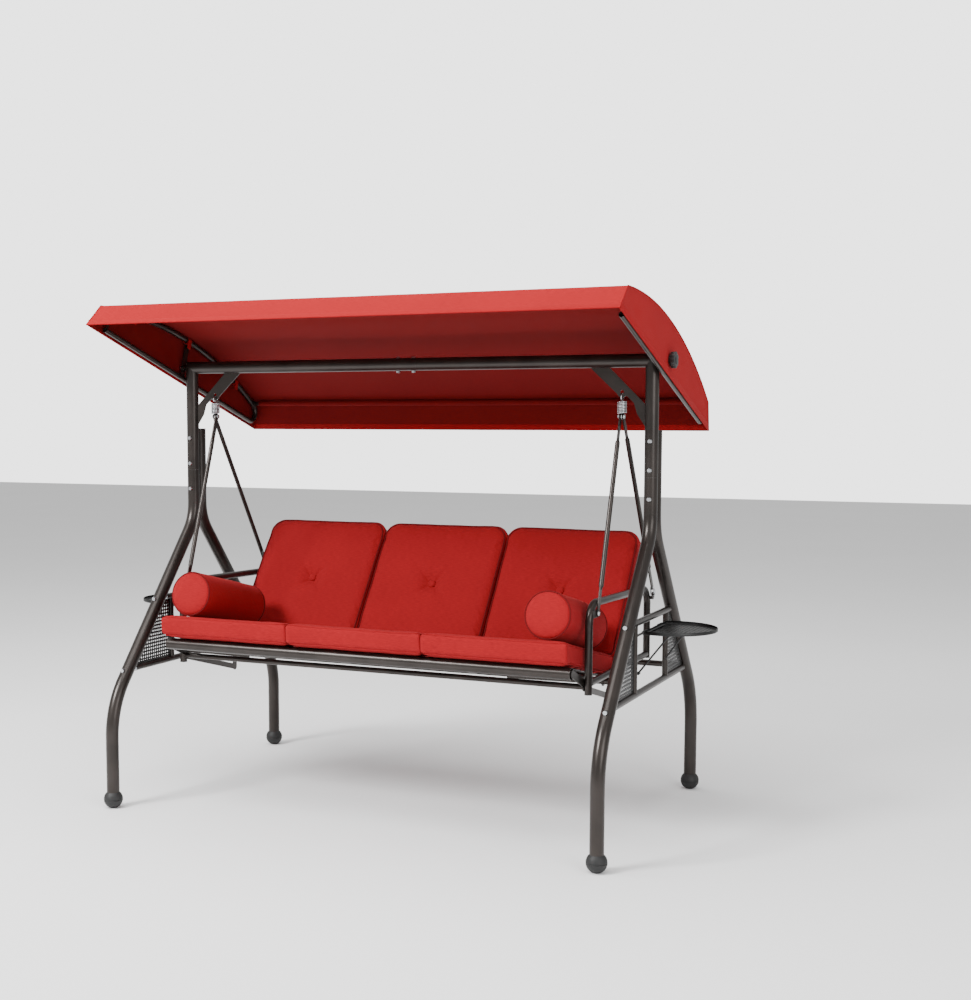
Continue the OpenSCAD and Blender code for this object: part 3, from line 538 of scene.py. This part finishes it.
def make_back_cushion(place_name, x, seed, look):
    wide, thick, high = BACK_SIZE
    shrink = look.swell_room
    obj = box_blank(f"back_pad_{place_name}", (wide - 2 * shrink, thick - 2 * shrink, high - 2 * shrink),
                    (0, thick / 2, high / 2))
    bevel_edges(obj, lambda mid, way: abs(way.y) > 0.9 and mid.z > high / 2, BACK_CORNER - shrink, 8)
    bevel_edges(obj, lambda mid, way: True, 0.008, 2)
    swell(obj, look.voxel, look.back_cap)
    ripple(obj, seed, 0.0016)
    fill_out(obj, (-wide / 2, -0.004, 0), (wide / 2, thick, high), (0.003, 0.0, 0.001))
    button = Vector((0, thick / 2, high * look.button_height))
    tuft(obj, button, 0.020, 0.085)
    half, r = wide / 2 - 0.004, BACK_CORNER
    outline = (round_corner(half - 0.02, 0.022, 0.018, -90, 0) + round_corner(half - r, high - 0.004 - r, r, 0, 90)
               + round_corner(-half + r, high - 0.004 - r, r, 90, 180) + round_corner(-half + 0.02, 0.022, 0.018, 180, 270))
    seams = []
    for y in (0.006, thick - 0.006):
        line = follow_surface(obj, ring_points(outline, y), -0.0005)
        pinch_along(obj, line, 0.003, 0.014)
        seams.append(line)
    cords = [tube_along(f"back_piping_{place_name}_{i}", line, 0.0028, closed=True) for i, line in enumerate(seams)]
    cord = joined(cords, f"back_piping_{place_name}")
    tree = BVHTree.FromPolygons([v.co for v in obj.data.vertices], [p.vertices for p in obj.data.polygons])
    spot = tree.ray_cast(Vector((0, -0.2, button.z)), Vector((0, 1, 0)))[0]
    deselect()
    bpy.ops.mesh.primitive_uv_sphere_add(segments=32, ring_count=16, radius=0.0155)
    knop = named(f"back_button_{place_name}")
    knop.data.transform(Matrix.Translation((0, spot.y - 0.003, button.z)) @ Matrix.Diagonal((1, 0.5, 1, 1)))
    only(knop)
    bpy.ops.object.shade_smooth()
    for piece in (obj, cord, knop):
        piece.data.transform(back_matrix(x))
    place(obj, "backrest", material_for("back_cloth"), [f"back_cushion_{place_name}"])
    place(cord, "backrest", material_for("piping_cloth"))
    place(knop, "backrest", material_for("back_cloth"))


def make_bolster(side, look):
    name = "right" if side > 0 else "left"
    low, high = node_box(f"bolster_{name}")
    radius, length = 0.079, 0.410
    x = (low.x + high.x) / 2
    deselect()
    bpy.ops.mesh.primitive_cylinder_add(vertices=64, radius=radius - 0.007, depth=length - 0.014)
    obj = named(f"bolster_pad_{name}")
    obj.data.transform(Matrix.Translation((0, length / 2, 0)) @ Matrix.Rotation(math.radians(90), 4, "X"))
    bevel_edges(obj, lambda mid, way: abs(way.y) < 0.5, 0.012, 3)
    swell(obj, look.voxel, 0.009)
    ripple(obj, 5 + side, 0.0013)
    fill_out(obj, (-radius, 0, -radius), (radius, length, radius), (0.0, 0.001, 0.0))
    rings = []
    for y in (0.010, length - 0.010):
        line = [Vector((radius * math.cos(a), y, radius * math.sin(a)))
                for a in (math.radians(i * 4) for i in range(90))]
        line = follow_surface(obj, line, -0.0005)
        pinch_along(obj, line, 0.003, 0.014)
        rings.append(line)
    cords = [tube_along(f"bolster_piping_{name}_{i}", line, 0.0028, closed=True) for i, line in enumerate(rings)]
    cord = joined(cords, f"bolster_piping_{name}")
    rest = seat_matrix(x) @ Matrix.Translation((0, 0.012, SEAT_SIZE.z + 0.0003 + radius))
    for piece in (obj, cord):
        piece.data.transform(rest)
    place(obj, "seat", material_for("seat_cloth"), [f"bolster_{name}"])
    place(cord, "seat", material_for("piping_cloth"))


# ---------------------------------------------------------------- canopy

CANOPY_LENGTH, CROWN, VALANCE, FRONT_LEAN, REAR_LEAN = 1.160, 0.175, 0.0925, 0.057, 0.045
PIVOT_U, PIVOT_V = 0.5735, 0.0522


def canopy_matrix():
    """Local x across, y along the cover's lower edge from the front, z up."""
    return (Matrix.Translation(PIVOT) @ Matrix.Rotation(-CANOPY_TILT, 4, "X")
            @ Matrix.Translation((0, -PIVOT_U, -PIVOT_V)))


def crown_height(u):
    """Height of the cover over its lower edge, along the bow."""
    half = (CANOPY_LENGTH - FRONT_LEAN - REAR_LEAN) / 2
    rise = CROWN - VALANCE
    radius = (half * half + rise * rise) / (2 * rise)
    return CROWN - radius + math.sqrt(max(0, radius * radius - (u - FRONT_LEAN - half) ** 2))


def canopy_profile(bow=44, drop=8):
    """Points (u, v) from the front hem over the crown to the rear hem."""
    points = [(FRONT_LEAN * k / drop, VALANCE * k / drop) for k in range(drop)]
    end = CANOPY_LENGTH - REAR_LEAN
    points += [(FRONT_LEAN + (end - FRONT_LEAN) * k / bow, 0) for k in range(bow + 1)]
    points = [(u, crown_height(u)) if i >= drop else (u, v) for i, (u, v) in enumerate(points)]
    points += [(end + REAR_LEAN * k / drop, VALANCE * (1 - k / drop)) for k in range(1, drop + 1)]
    return points


def make_canopy():
    profile = canopy_profile()
    half = (COVER_HIGH.x - COVER_LOW.x) / 2
    count, across = len(profile), 56
    deselect()
    bpy.ops.mesh.primitive_grid_add(x_subdivisions=across, y_subdivisions=count - 1, size=2)
    top = named("canopy_cloth")
    for v in top.data.vertices:
        row = round((v.co.y + 1) / 2 * (count - 1))
        u, z = profile[row]
        x = v.co.x * half
        middle = 1 - v.co.x ** 2
        bow = math.sin(math.pi * row / (count - 1)) ** 2
        sag = 0.012 * middle * bow + 0.0015 * noise.noise(Vector((x * 7, u * 7, 3)))
        v.co = (x, u, z - sag * (1 if 8 < row < count - 9 else 0.3))
    sides = []
    for side in (-1, 1):
        rows = 8
        deselect()
        bpy.ops.mesh.primitive_grid_add(x_subdivisions=count - 1, y_subdivisions=rows, size=2)
        panel = named("canopy_side")
        for v in panel.data.vertices:
            column = round((v.co.x + 1) / 2 * (count - 1))
            rise = (v.co.y + 1) / 2
            u, z = profile[column]
            hem_u = CANOPY_LENGTH * column / (count - 1)
            puff = 0.004 * math.sin(math.pi * rise) * noise.noise(Vector((u * 5, rise * 2, side * 4)))
            v.co = (side * (half - abs(puff)), hem_u + (u - hem_u) * rise, z * rise)
        if side < 0:
            panel.data.flip_normals()
        sides.append(panel)
    cover = joined([top] + sides, "canopy_cloth")
    only(cover)
    bpy.ops.object.mode_set(mode="EDIT")
    bpy.ops.mesh.select_all(action="SELECT")
    bpy.ops.mesh.remove_doubles(threshold=0.0004)
    bpy.ops.object.mode_set(mode="OBJECT")
    # top and sides are built facing outward, so the second material goes on the underside: a darker copy of the canopy
    # cloth, painted shade
    cover.data.materials.append(material_for("canopy_cloth"))
    cover.data.materials.append(material_for("canopy_underside_shade"))
    modify(cover, "SOLIDIFY", thickness=0.0015, offset=-1, material_offset=1)
    apply_modifiers(cover)
    smooth(cover, 35)
    cover.data.transform(canopy_matrix())
    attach(cover, "canopy")
    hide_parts("canopy_cover")
    # corded seams between the top and its two side panels, and turned hems
    for side, name in ((-1, "left"), (1, "right")):
        line = [Vector((side * half, u, v)) for u, v in profile]
        seam = tube_along(f"canopy_seam_{name}", line, 0.0022)
        seam.data.transform(canopy_matrix())
        place(seam, "canopy", material_for("canopy_cloth"))
    hem = []
    for side in (-1, 1):
        hem.append(strip_along("hem", [(side * half, 0.008, 0), (side * half, CANOPY_LENGTH - 0.008, 0)],
                               Vector((0, 0, 1)), 0.022, 0.0035))
    inner = half - 0.001
    hem.append(strip_along("hem", [(-inner, 0, 0), (inner, 0, 0)],
                           Vector((0, FRONT_LEAN, VALANCE)).normalized(), 0.022, 0.0035))
    hem.append(strip_along("hem", [(-inner, CANOPY_LENGTH, 0), (inner, CANOPY_LENGTH, 0)],
                           Vector((0, -REAR_LEAN, VALANCE)).normalized(), 0.022, 0.0035))
    hems = joined(hem, "canopy_hem")
    hems.data.transform(canopy_matrix())
    place(hems, "canopy", material_for("canopy_cloth"))


def strip_along(name, line, up, width, thick):
    """A flat folded band that stands up from a straight line."""
    a, b = Vector(line[0]), Vector(line[1])
    way = (b - a).normalized()
    out = way.cross(up).normalized()
    deselect()
    bpy.ops.mesh.primitive_cube_add(size=1)
    obj = named(name)
    obj.data.transform(Matrix.Diagonal(((b - a).length, width, thick, 1)))
    turn = Matrix((way, up, out)).transposed().to_4x4()
    obj.data.transform(Matrix.Translation((a + b) / 2 + up * width / 2) @ turn)
    bevel_edges(obj, lambda mid, direction: True, 0.0008, 2)
    smooth(obj)
    return obj


def make_sleeve():
    """The cloth sleeve that holds the rear cross bar in the cover."""
    low, high = node_box("canopy_bars")
    inside = canopy_matrix().inverted()
    bars = [inside @ v.co for v in frame["nodes"]["canopy_bars"].data.vertices]
    rear = [p for p in bars if p.y > CANOPY_LENGTH / 2]
    centre = Vector((0, (min(p.y for p in rear) + max(p.y for p in rear)) / 2,
                     (min(p.z for p in rear) + max(p.z for p in rear)) / 2))
    deselect()
    bpy.ops.mesh.primitive_cylinder_add(vertices=40, radius=0.0105, depth=high.x - low.x - 0.06,
                                        end_fill_type="NOTHING")
    sleeve = named("canopy_sleeve")
    modify(sleeve, "SOLIDIFY", thickness=0.0012, offset=-1)
    apply_modifiers(sleeve)
    smooth(sleeve)
    sleeve.data.transform(canopy_matrix() @ Matrix.Translation(centre) @ Matrix.Rotation(math.radians(90), 4, "Y"))
    # the sleeve hangs under the canopy, so it takes the darkened cloth with painted shade
    place(sleeve, "canopy", material_for("canopy_underside_shade"))


def make_straps():
    """Cloth loops that tie the cover to the two hoops."""
    straps = []
    for side in (-1, 1):
        for u in (0.22, 0.57, 0.93):
            low, high = node_box("canopy_hoop_right" if side > 0 else "canopy_hoop_left")
            x = (low.x + high.x) / 2
            centre = Vector((x, u, crown_height(u) - 0.018))
            deselect()
            bpy.ops.mesh.primitive_cylinder_add(vertices=40, radius=0.0118, depth=0.022, end_fill_type="NOTHING")
            loop = named("strap")
            loop.data.transform(Matrix.Translation(centre) @ Matrix.Rotation(math.radians(90), 4, "X"))
            modify(loop, "SOLIDIFY", thickness=0.0014, offset=1)
            apply_modifiers(loop)
            smooth(loop)
            straps.append(loop)
            tail = strip_along("strap_tail", [(x - side * 0.012, u - 0.011, centre.z - 0.030),
                                              (x - side * 0.012, u + 0.011, centre.z - 0.030)],
                               Vector((0, 0, 1)), 0.032, 0.0022)
            straps.append(tail)
    straps = joined(straps, "canopy_straps")
    straps.data.transform(canopy_matrix())
    place(straps, "canopy", material_for("canopy_cloth"))


# ---------------------------------------------------------------- springs, screens, trays, knobs

def make_spring(side):
    name = "right" if side > 0 else "left"
    low, high = node_box(f"spring_{name}")
    wire = 0.00225
    x = (low.x + high.x) / 2
    y = PIVOT.y
    hook_top = joint_of("seat_swing")["pos_m"][2]
    hook_r, eye_r = 0.012, 0.008
    hook_centre = hook_top - hook_r
    eye_centre = low.z + eye_r + wire
    coil_top = hook_centre - hook_r - wire
    coil_low = eye_centre + eye_r + wire
    radius = 0.016 - wire
    turns = int((coil_top - coil_low) / (2 * wire * 1.04))
    steps = 28
    points = []
    for i in range(13):
        angle = math.radians(-60 + 300 * i / 12)
        points.append(Vector((0, -hook_r * math.sin(angle), hook_centre + hook_r * -math.cos(angle))))
    ring = [Vector((0, hook_r * math.sin(a), hook_centre + hook_r * math.cos(a)))
            for a in (math.radians(-150 + 312 * i / 30) for i in range(31))]
    coil = []
    for i in range(turns * steps + 1):
        a = 2 * math.pi * i / steps
        coil.append(Vector((radius * math.sin(a), radius * math.cos(a), coil_top - (coil_top - coil_low) * i / (turns * steps))))
    eye = [Vector((0, eye_r * math.sin(a), eye_centre - eye_r * math.cos(a)))
           for a in (math.radians(-162 + 312 * i / 24) for i in range(25))]
    path = ring + coil + list(reversed(eye))
    wire_piece = tube_along(f"spring_wire_{name}", path, wire, sides=12)
    wire_piece.data.transform(Matrix.Translation((x, y, 0)))
    place(wire_piece, "swing", material_for("zinc"), [f"spring_{name}"])


def perforated_sheet(name, width, height, pitch, hole, thick):
    """A flat sheet in the XZ plane from the origin, with a square grid of round holes."""
    columns, rows = math.ceil(width / pitch), math.ceil(height / pitch)
    deselect()
    bpy.ops.mesh.primitive_circle_add(vertices=12, radius=hole / 2, fill_type="NOTHING")
    cell = named(name)
    mesh = bmesh.new()
    mesh.from_mesh(cell.data)
    inner = list(mesh.verts)
    outer = []
    for v in inner:
        a = math.atan2(v.co.y, v.co.x)
        reach = pitch / 2 / max(abs(math.cos(a)), abs(math.sin(a)))
        outer.append(mesh.verts.new((reach * math.cos(a), reach * math.sin(a), 0)))
    for i in range(12):
        j = (i + 1) % 12
        mesh.faces.new((inner[i], inner[j], outer[j], outer[i]))
    # the square's own corners, between the twelve rays
    for sx in (-1, 1):
        for sy in (-1, 1):
            corner = Vector((sx * pitch / 2, sy * pitch / 2, 0))
            near = sorted(outer, key=lambda v: (v.co - corner).length)[:2]
            if (near[0].co - corner).length > 1e-6:
                top = mesh.verts.new(corner)
                mesh.faces.new((near[0], near[1], top))
    bmesh.ops.recalc_face_normals(mesh, faces=mesh.faces)
    mesh.to_mesh(cell.data)
    mesh.free()
    for axis, count in ((0, columns), (1, rows)):
        offset = [0, 0, 0]
        offset[axis] = pitch
        modify(cell, "ARRAY", count=count, use_relative_offset=False, use_constant_offset=True,
               constant_offset_displace=offset, use_merge_vertices=True, merge_threshold=0.00002)
    apply_modifiers(cell)
    cell.data.transform(Matrix.Translation((pitch / 2, pitch / 2, 0)))
    return cell


def cut_sheet(obj, point, normal):
    """Keeps the part of a sheet behind the plane."""
    only(obj)
    bpy.ops.object.mode_set(mode="EDIT")
    bpy.ops.mesh.select_all(action="SELECT")
    bpy.ops.mesh.bisect(plane_co=point, plane_no=normal, clear_outer=True)
    bpy.ops.object.mode_set(mode="OBJECT")


def make_screens(side):
    """Perforated steel infill sheets between each post and its leg, with a folded rim."""
    name = "right" if side > 0 else "left"
    low, high = node_box(f"side_screens_{name}")
    x = (low.x + high.x) / 2
    mesh = frame["nodes"][f"side_screens_{name}"].data
    corners = [v.co for v in mesh.vertices if v.co.y > 0]
    inner = min(c.y for c in corners)
    foot = max(c.y for c in corners)
    head = max(c.y for c in corners if c.z > high.z - 0.001)
    tall = high.z - low.z
    sheet = perforated_sheet("screen", foot - inner, tall, 0.0125, 0.0072, 0.0012)
    slope = Vector((tall, foot - head, 0)).normalized()
    cut_sheet(sheet, (foot - inner, 0, 0), slope)
    cut_sheet(sheet, (0, tall, 0), (0, 1, 0))
    modify(sheet, "SOLIDIFY", thickness=0.0012, offset=0)
    apply_modifiers(sheet)
    rim = []
    outline = [Vector((0, 0, 0)), Vector((foot - inner, 0, 0)), Vector((head - inner, tall, 0)), Vector((0, tall, 0))]
    for a, b in zip(outline, outline[1:] + outline[:1]):
        way = (b - a).normalized()
        rim.append(strip_along("rim", [a + way * 0.001, b - way * 0.001], Vector((-way.y, way.x, 0)), 0.007, 0.0024))
    sheet = joined([sheet] + rim, f"screen_{name}_rear")
    upright = Matrix(((0, 0, 1, 0), (1, 0, 0, 0), (0, 1, 0, 0), (0, 0, 0, 1)))
    sheet.data.transform(Matrix.Translation((x, inner, low.z)) @ upright)
    twin = copied(sheet, f"screen_{name}_front", Matrix.Diagonal((1, -1, 1, 1)))
    place(sheet, "stand", material_for("black_coat"), [f"side_screens_{name}"])
    place(twin, "stand", material_for("black_coat"))


def make_tray(side):
    """Pressed D-shaped tray with a perforated pan, rolled rim and two hinge knuckles."""
    name = "right" if side > 0 else "left"
    low, high = node_box(f"tray_{name}")
    hinge = Vector(joint_of(f"tray_{name}_fold")["pos_m"])
    reach, radius, edge = 0.0646, 0.150, 0.008
    wide = reach + radius - edge
    pan = perforated_sheet("pan", wide, 2 * radius, 0.0135, 0.0065, 0.0015)
    pan.data.transform(Matrix.Translation((edge, -radius, 0)))
    for i in range(36):
        way = Vector((math.cos(math.radians(10 * i)), math.sin(math.radians(10 * i)), 0))
        if way.x > -0.6:
            cut_sheet(pan, Vector((reach, 0, 0)) + way * (radius - 0.013), way)
    modify(pan, "SOLIDIFY", thickness=0.0015, offset=0)
    apply_modifiers(pan)
    angle = math.acos((edge - reach) / radius)
    arc = [Vector((reach + radius * math.cos(a), radius * math.sin(a)))
           for a in (-angle + 2 * angle * i / 72 for i in range(73))]
    section = [(-0.0145, 0), (-0.0145, 0.0015), (-0.0035, 0.0015), (-0.0015, 0.0035), (-0.0015, 0.0095), (-0.0022, 0.0108),
               (-0.0008, 0.0110), (0, 0.0098), (0, 0.0015), (-0.0015, 0)]
    rim_mesh = bmesh.new()
    rings = []
    chord = [Vector((edge, arc[-1].y + (arc[0].y - arc[-1].y) * i / 24)) for i in range(1, 24)]
    closed = arc + chord
    count = len(closed)
    for i, p in enumerate(closed):
        before, after = closed[i - 1], closed[(i + 1) % count]
        way = (after - before).normalized()
        out = Vector((way.y, -way.x))
        rings.append([rim_mesh.verts.new((p.x + out.x * s, p.y + out.y * s, h)) for s, h in section])
    for i in range(count):
        a, b = rings[i], rings[(i + 1) % count]
        for k in range(len(section)):
            m = (k + 1) % len(section)
            rim_mesh.faces.new((a[k], b[k], b[m], a[m]))
    bmesh.ops.recalc_face_normals(rim_mesh, faces=rim_mesh.faces)
    data = bpy.data.meshes.new("rim")
    rim_mesh.to_mesh(data)
    rim_mesh.free()
    rim = bpy.data.objects.new("rim", data)
    bpy.context.collection.objects.link(rim)
    pan.data.transform(Matrix.Translation((0, 0, 0.00075)))
    pieces = [pan, rim]
    for y in (-0.09, 0.09):
        deselect()
        bpy.ops.mesh.primitive_cylinder_add(vertices=32, radius=0.0064, depth=0.044, end_fill_type="NOTHING")
        knuckle = named("knuckle")
        modify(knuckle, "SOLIDIFY", thickness=0.0022, offset=-1)
        apply_modifiers(knuckle)
        knuckle.data.transform(Matrix.Translation((0, y, 0.0015)) @ Matrix.Rotation(math.radians(90), 4, "X"))
        leaf = strip_along("leaf", [(0.0055, y - 0.022, 0.00075), (0.0055, y + 0.022, 0.00075)], Vector((1, 0, 0)), 0.022, 0.002)
        pieces += [knuckle, leaf]
    tray = joined(pieces, f"tray_pan_{name}")
    smooth(tray, 35)
    tray.data.transform(Matrix.Translation((0, 0, -0.0015)))
    spot = Matrix.Translation(hinge)
    if side < 0:
        spot = spot @ Matrix.Diagonal((-1, 1, 1, 1))
        tray.data.transform(spot)
        tray.data.flip_normals()
    else:
        tray.data.transform(spot)
    place(tray, f"tray_{name}", material_for("black_coat"), [f"tray_{name}"])


def make_knob(side):
    """Six-lobed clamping knob with a skirt and a domed cap, on its steel bolt."""
    name = "right" if side > 0 else "left"
    low, high = node_box(f"knob_{name}")
    inner, outer = (low.x, high.x) if side > 0 else (-high.x, -low.x)
    face = 0.9466
    deselect()
    bpy.ops.mesh.primitive_cylinder_add(vertices=72, radius=0.027, depth=0.018)
    grip = named("grip")
    for v in grip.data.vertices:
        angle = math.atan2(v.co.y, v.co.x)
        lobe = 1 - 0.12 * (0.5 - 0.5 * math.cos(6 * angle)) ** 2
        v.co.x *= lobe
        v.co.y *= lobe
    bevel_edges(grip, lambda mid, way: abs(way.z) < 0.5 and mid.length > 0.02, 0.0028, 3)
    grip.data.transform(Matrix.Translation((0, 0, 0.013)))
    skirt = cylinder("skirt", 0.0155, 0.006, Matrix.Translation((0, 0, 0.002)), 48)
    cap = cylinder("cap", 0.014, 0.003, Matrix.Translation((0, 0, 0.0225)), 48)
    bevel_edges(cap, lambda mid, way: mid.z > 0.023 and abs(way.z) < 0.5, 0.0012, 2)
    knob = joined([grip, skirt, cap], f"knob_grip_{name}")
    smooth(knob, 35)
    bolt = cylinder("bolt", 0.005, face - inner, Matrix.Translation((0, 0, -(face - inner) / 2)), 32)
    bolt = joined([bolt], f"knob_bolt_{name}")
    smooth(bolt, 35)
    turn = Matrix.Rotation(math.radians(90), 4, "Y")
    spot = Matrix.Translation((face, PIVOT.y, PIVOT.z)) @ turn
    for piece in (knob, bolt):
        piece.data.transform(spot)
        if side < 0:
            piece.data.transform(Matrix.Diagonal((-1, 1, 1, 1)))
            piece.data.flip_normals()
    place(knob, f"knob_{name}", material_for("nylon"), [f"knob_{name}"])
    place(bolt, f"knob_{name}", material_for("zinc"))


# ---------------------------------------------------------------- settings

class SwingLooks(bpy.types.PropertyGroup):
    cushion_red: bpy.props.StringProperty(name="Cushion red", description="sRGB hex of the cushion cloth",
                                          default="#8a1218")
    canopy_red: bpy.props.StringProperty(name="Canopy red", description="sRGB hex of the canopy cloth",
                                         default="#8c0f14")
    # a darker copy of the canopy red: painted shade for the underside
    underside_shade_red: bpy.props.StringProperty(name="Underside shade red", description="sRGB hex of the canopy's coated underside",
                                         default="#650608")
    piping_red: bpy.props.StringProperty(name="Piping red", description="sRGB hex of the piping", default="#5e0d10")
    frame_bronze: bpy.props.StringProperty(name="Frame bronze", description="sRGB hex of the powder coat",
                                           default="#2b2623")
    voxel: bpy.props.FloatProperty(name="Cloth grid", description="Mesh size of the padded pieces", default=0.007,
                                   unit="LENGTH")
    swell_room: bpy.props.FloatProperty(name="Room to swell", description="How much smaller a cover starts, each side",
                                        default=0.006, unit="LENGTH")
    seat_cap: bpy.props.FloatProperty(name="Seat swelling", description="Furthest a seat cover may swell",
                                      default=0.009, unit="LENGTH")
    back_cap: bpy.props.FloatProperty(name="Back swelling", description="Furthest a back cover may swell",
                                      default=0.012, unit="LENGTH")
    button_height: bpy.props.FloatProperty(name="Button height", description="Button's place, as a share of the back",
                                           default=0.49, subtype="FACTOR")


# ---------------------------------------------------------------- operators

class SWING_OT_stage(bpy.types.Operator):
    """Adds the floor, the studio light and the camera"""
    bl_idname = "swing.stage"
    bl_label = "Stage"

    def execute(self, context):
        deselect()
        bpy.ops.mesh.primitive_plane_add(size=40)
        floor = named("studio_floor")
        paint(floor, material_for("floor"))
        world = bpy.data.worlds.new("studio")
        world.use_nodes = True
        background = world.node_tree.nodes["Background"]
        background.inputs["Color"].default_value = (1, 1, 1, 1)
        seen = world.node_tree.nodes.new("ShaderNodeLightPath").outputs["Is Camera Ray"]
        strength = world.node_tree.nodes.new("ShaderNodeMapRange")
        strength.inputs["To Min"].default_value = 0.75
        strength.inputs["To Max"].default_value = 3.0
        world.node_tree.links.new(seen, strength.inputs["Value"])
        world.node_tree.links.new(strength.outputs[0], background.inputs["Strength"])
        context.scene.world = world
        target = Vector((0, 0, 0.8))
        for name, spot, size, power in (("key", (-2.8, -4.6, 4.6), 1.8, 560), ("fill", (4.4, -3.0, 2.4), 2.4, 110),
                                        ("top", (-0.4, -0.8, 5.2), 4.0, 300)):
            deselect()
            bpy.ops.object.light_add(type="AREA", location=spot)
            lamp = bpy.context.object
            lamp.name = name + "_light"
            lamp.data.size = size
            lamp.data.energy = power
            lamp.rotation_euler = (target - Vector(spot)).to_track_quat("-Z", "Y").to_euler()
        deselect()
        bpy.ops.object.camera_add(location=(2.2144, -4.7207, 1.3708),
                                  rotation=(math.radians(90 - 5.259), 0, math.radians(24.824)))
        camera = bpy.context.object
        camera.data.lens = 52.863
        camera.data.sensor_width = 36
        camera.data.shift_x = 0.0690
        camera.data.shift_y = 0.0525
        context.scene.camera = camera
        return {"FINISHED"}


class SWING_OT_finishes(bpy.types.Operator):
    """Gives each metal, rubber and plastic part its finish"""
    bl_idname = "swing.finishes"
    bl_label = "Finishes"

    def execute(self, context):
        keys = {"bronze_paint": "bronze", "black_paint": "black_coat", "black_rubber": "rubber",
                "black_plastic": "nylon", "zinc_steel": "zinc", "red_cushion_fabric": "seat_cloth",
                "red_canopy_fabric": "canopy_cloth"}
        for part in frame["record"]["subparts"]:
            obj = frame["nodes"][part["node"]]
            material = material_for(keys[part["material_slot"]])
            if not obj.material_slots:
                obj.data.materials.append(material)
            for slot in obj.material_slots:
                slot.material = material
        return {"FINISHED"}


class SWING_OT_seat_cushions(bpy.types.Operator):
    """Stuffs the three seat cushions and pipes their edges"""
    bl_idname = "swing.seat_cushions"
    bl_label = "Seat cushions"

    def execute(self, context):
        for seed, name in enumerate(("left", "middle", "right")):
            low, high = node_box(f"seat_cushion_{name}")
            make_seat_cushion(name, (low.x + high.x) / 2, seed + 1, context.scene.swing_looks)
        return {"FINISHED"}


class SWING_OT_back_cushions(bpy.types.Operator):
    """Stuffs the three back cushions, buttons them and pipes their edges"""
    bl_idname = "swing.back_cushions"
    bl_label = "Back cushions"

    def execute(self, context):
        for seed, name in enumerate(("left", "middle", "right")):
            low, high = node_box(f"back_cushion_{name}")
            make_back_cushion(name, (low.x + high.x) / 2, seed + 11, context.scene.swing_looks)
        return {"FINISHED"}


class SWING_OT_bolsters(bpy.types.Operator):
    """Stuffs the two bolsters"""
    bl_idname = "swing.bolsters"
    bl_label = "Bolsters"

    def execute(self, context):
        for side in (-1, 1):
            make_bolster(side, context.scene.swing_looks)
        return {"FINISHED"}


class SWING_OT_canopy(bpy.types.Operator):
    """Sews the canopy cloth, its hems and its straps"""
    bl_idname = "swing.canopy"
    bl_label = "Canopy"

    def execute(self, context):
        make_canopy()
        make_sleeve()
        make_straps()
        return {"FINISHED"}


class SWING_OT_springs(bpy.types.Operator):
    """Winds the two springs"""
    bl_idname = "swing.springs"
    bl_label = "Springs"

    def execute(self, context):
        for side in (-1, 1):
            make_spring(side)
        return {"FINISHED"}


class SWING_OT_screens(bpy.types.Operator):
    """Punches the perforated side screens"""
    bl_idname = "swing.screens"
    bl_label = "Side screens"

    def execute(self, context):
        for side in (-1, 1):
            make_screens(side)
        return {"FINISHED"}


class SWING_OT_trays(bpy.types.Operator):
    """Presses the two side trays"""
    bl_idname = "swing.trays"
    bl_label = "Side trays"

    def execute(self, context):
        for side in (-1, 1):
            make_tray(side)
        return {"FINISHED"}


class SWING_OT_knobs(bpy.types.Operator):
    """Moulds the canopy's two clamping knobs"""
    bl_idname = "swing.knobs"
    bl_label = "Canopy knobs"

    def execute(self, context):
        for side in (-1, 1):
            make_knob(side)
        return {"FINISHED"}


OPERATORS = [SWING_OT_stage, SWING_OT_finishes, SWING_OT_seat_cushions, SWING_OT_back_cushions, SWING_OT_bolsters,
             SWING_OT_canopy, SWING_OT_springs, SWING_OT_screens, SWING_OT_trays, SWING_OT_knobs]


class SWING_PT_panel(bpy.types.Panel):
    """Lists the pieces of the swing"""
    bl_idname = "SWING_PT_panel"
    bl_label = "Canopy swing"
    bl_space_type = "VIEW_3D"
    bl_region_type = "UI"
    bl_category = "Swing"

    def draw(self, context):
        looks = context.scene.swing_looks
        for name in SwingLooks.__annotations__:
            self.layout.prop(looks, name)
        for operator in OPERATORS:
            self.layout.operator(operator.bl_idname)


CLASSES = [SwingLooks] + OPERATORS + [SWING_PT_panel]


def register():
    for cls in CLASSES:
        bpy.utils.register_class(cls)
    bpy.types.Scene.swing_looks = bpy.props.PointerProperty(type=SwingLooks)


def unregister():
    del bpy.types.Scene.swing_looks
    for cls in reversed(CLASSES):
        bpy.utils.unregister_class(cls)


def main():
    register()
    for operator in OPERATORS:
        group, name = operator.bl_idname.split(".")
        getattr(getattr(bpy.ops, group), name)()


if __name__ == "__main__":
    main()
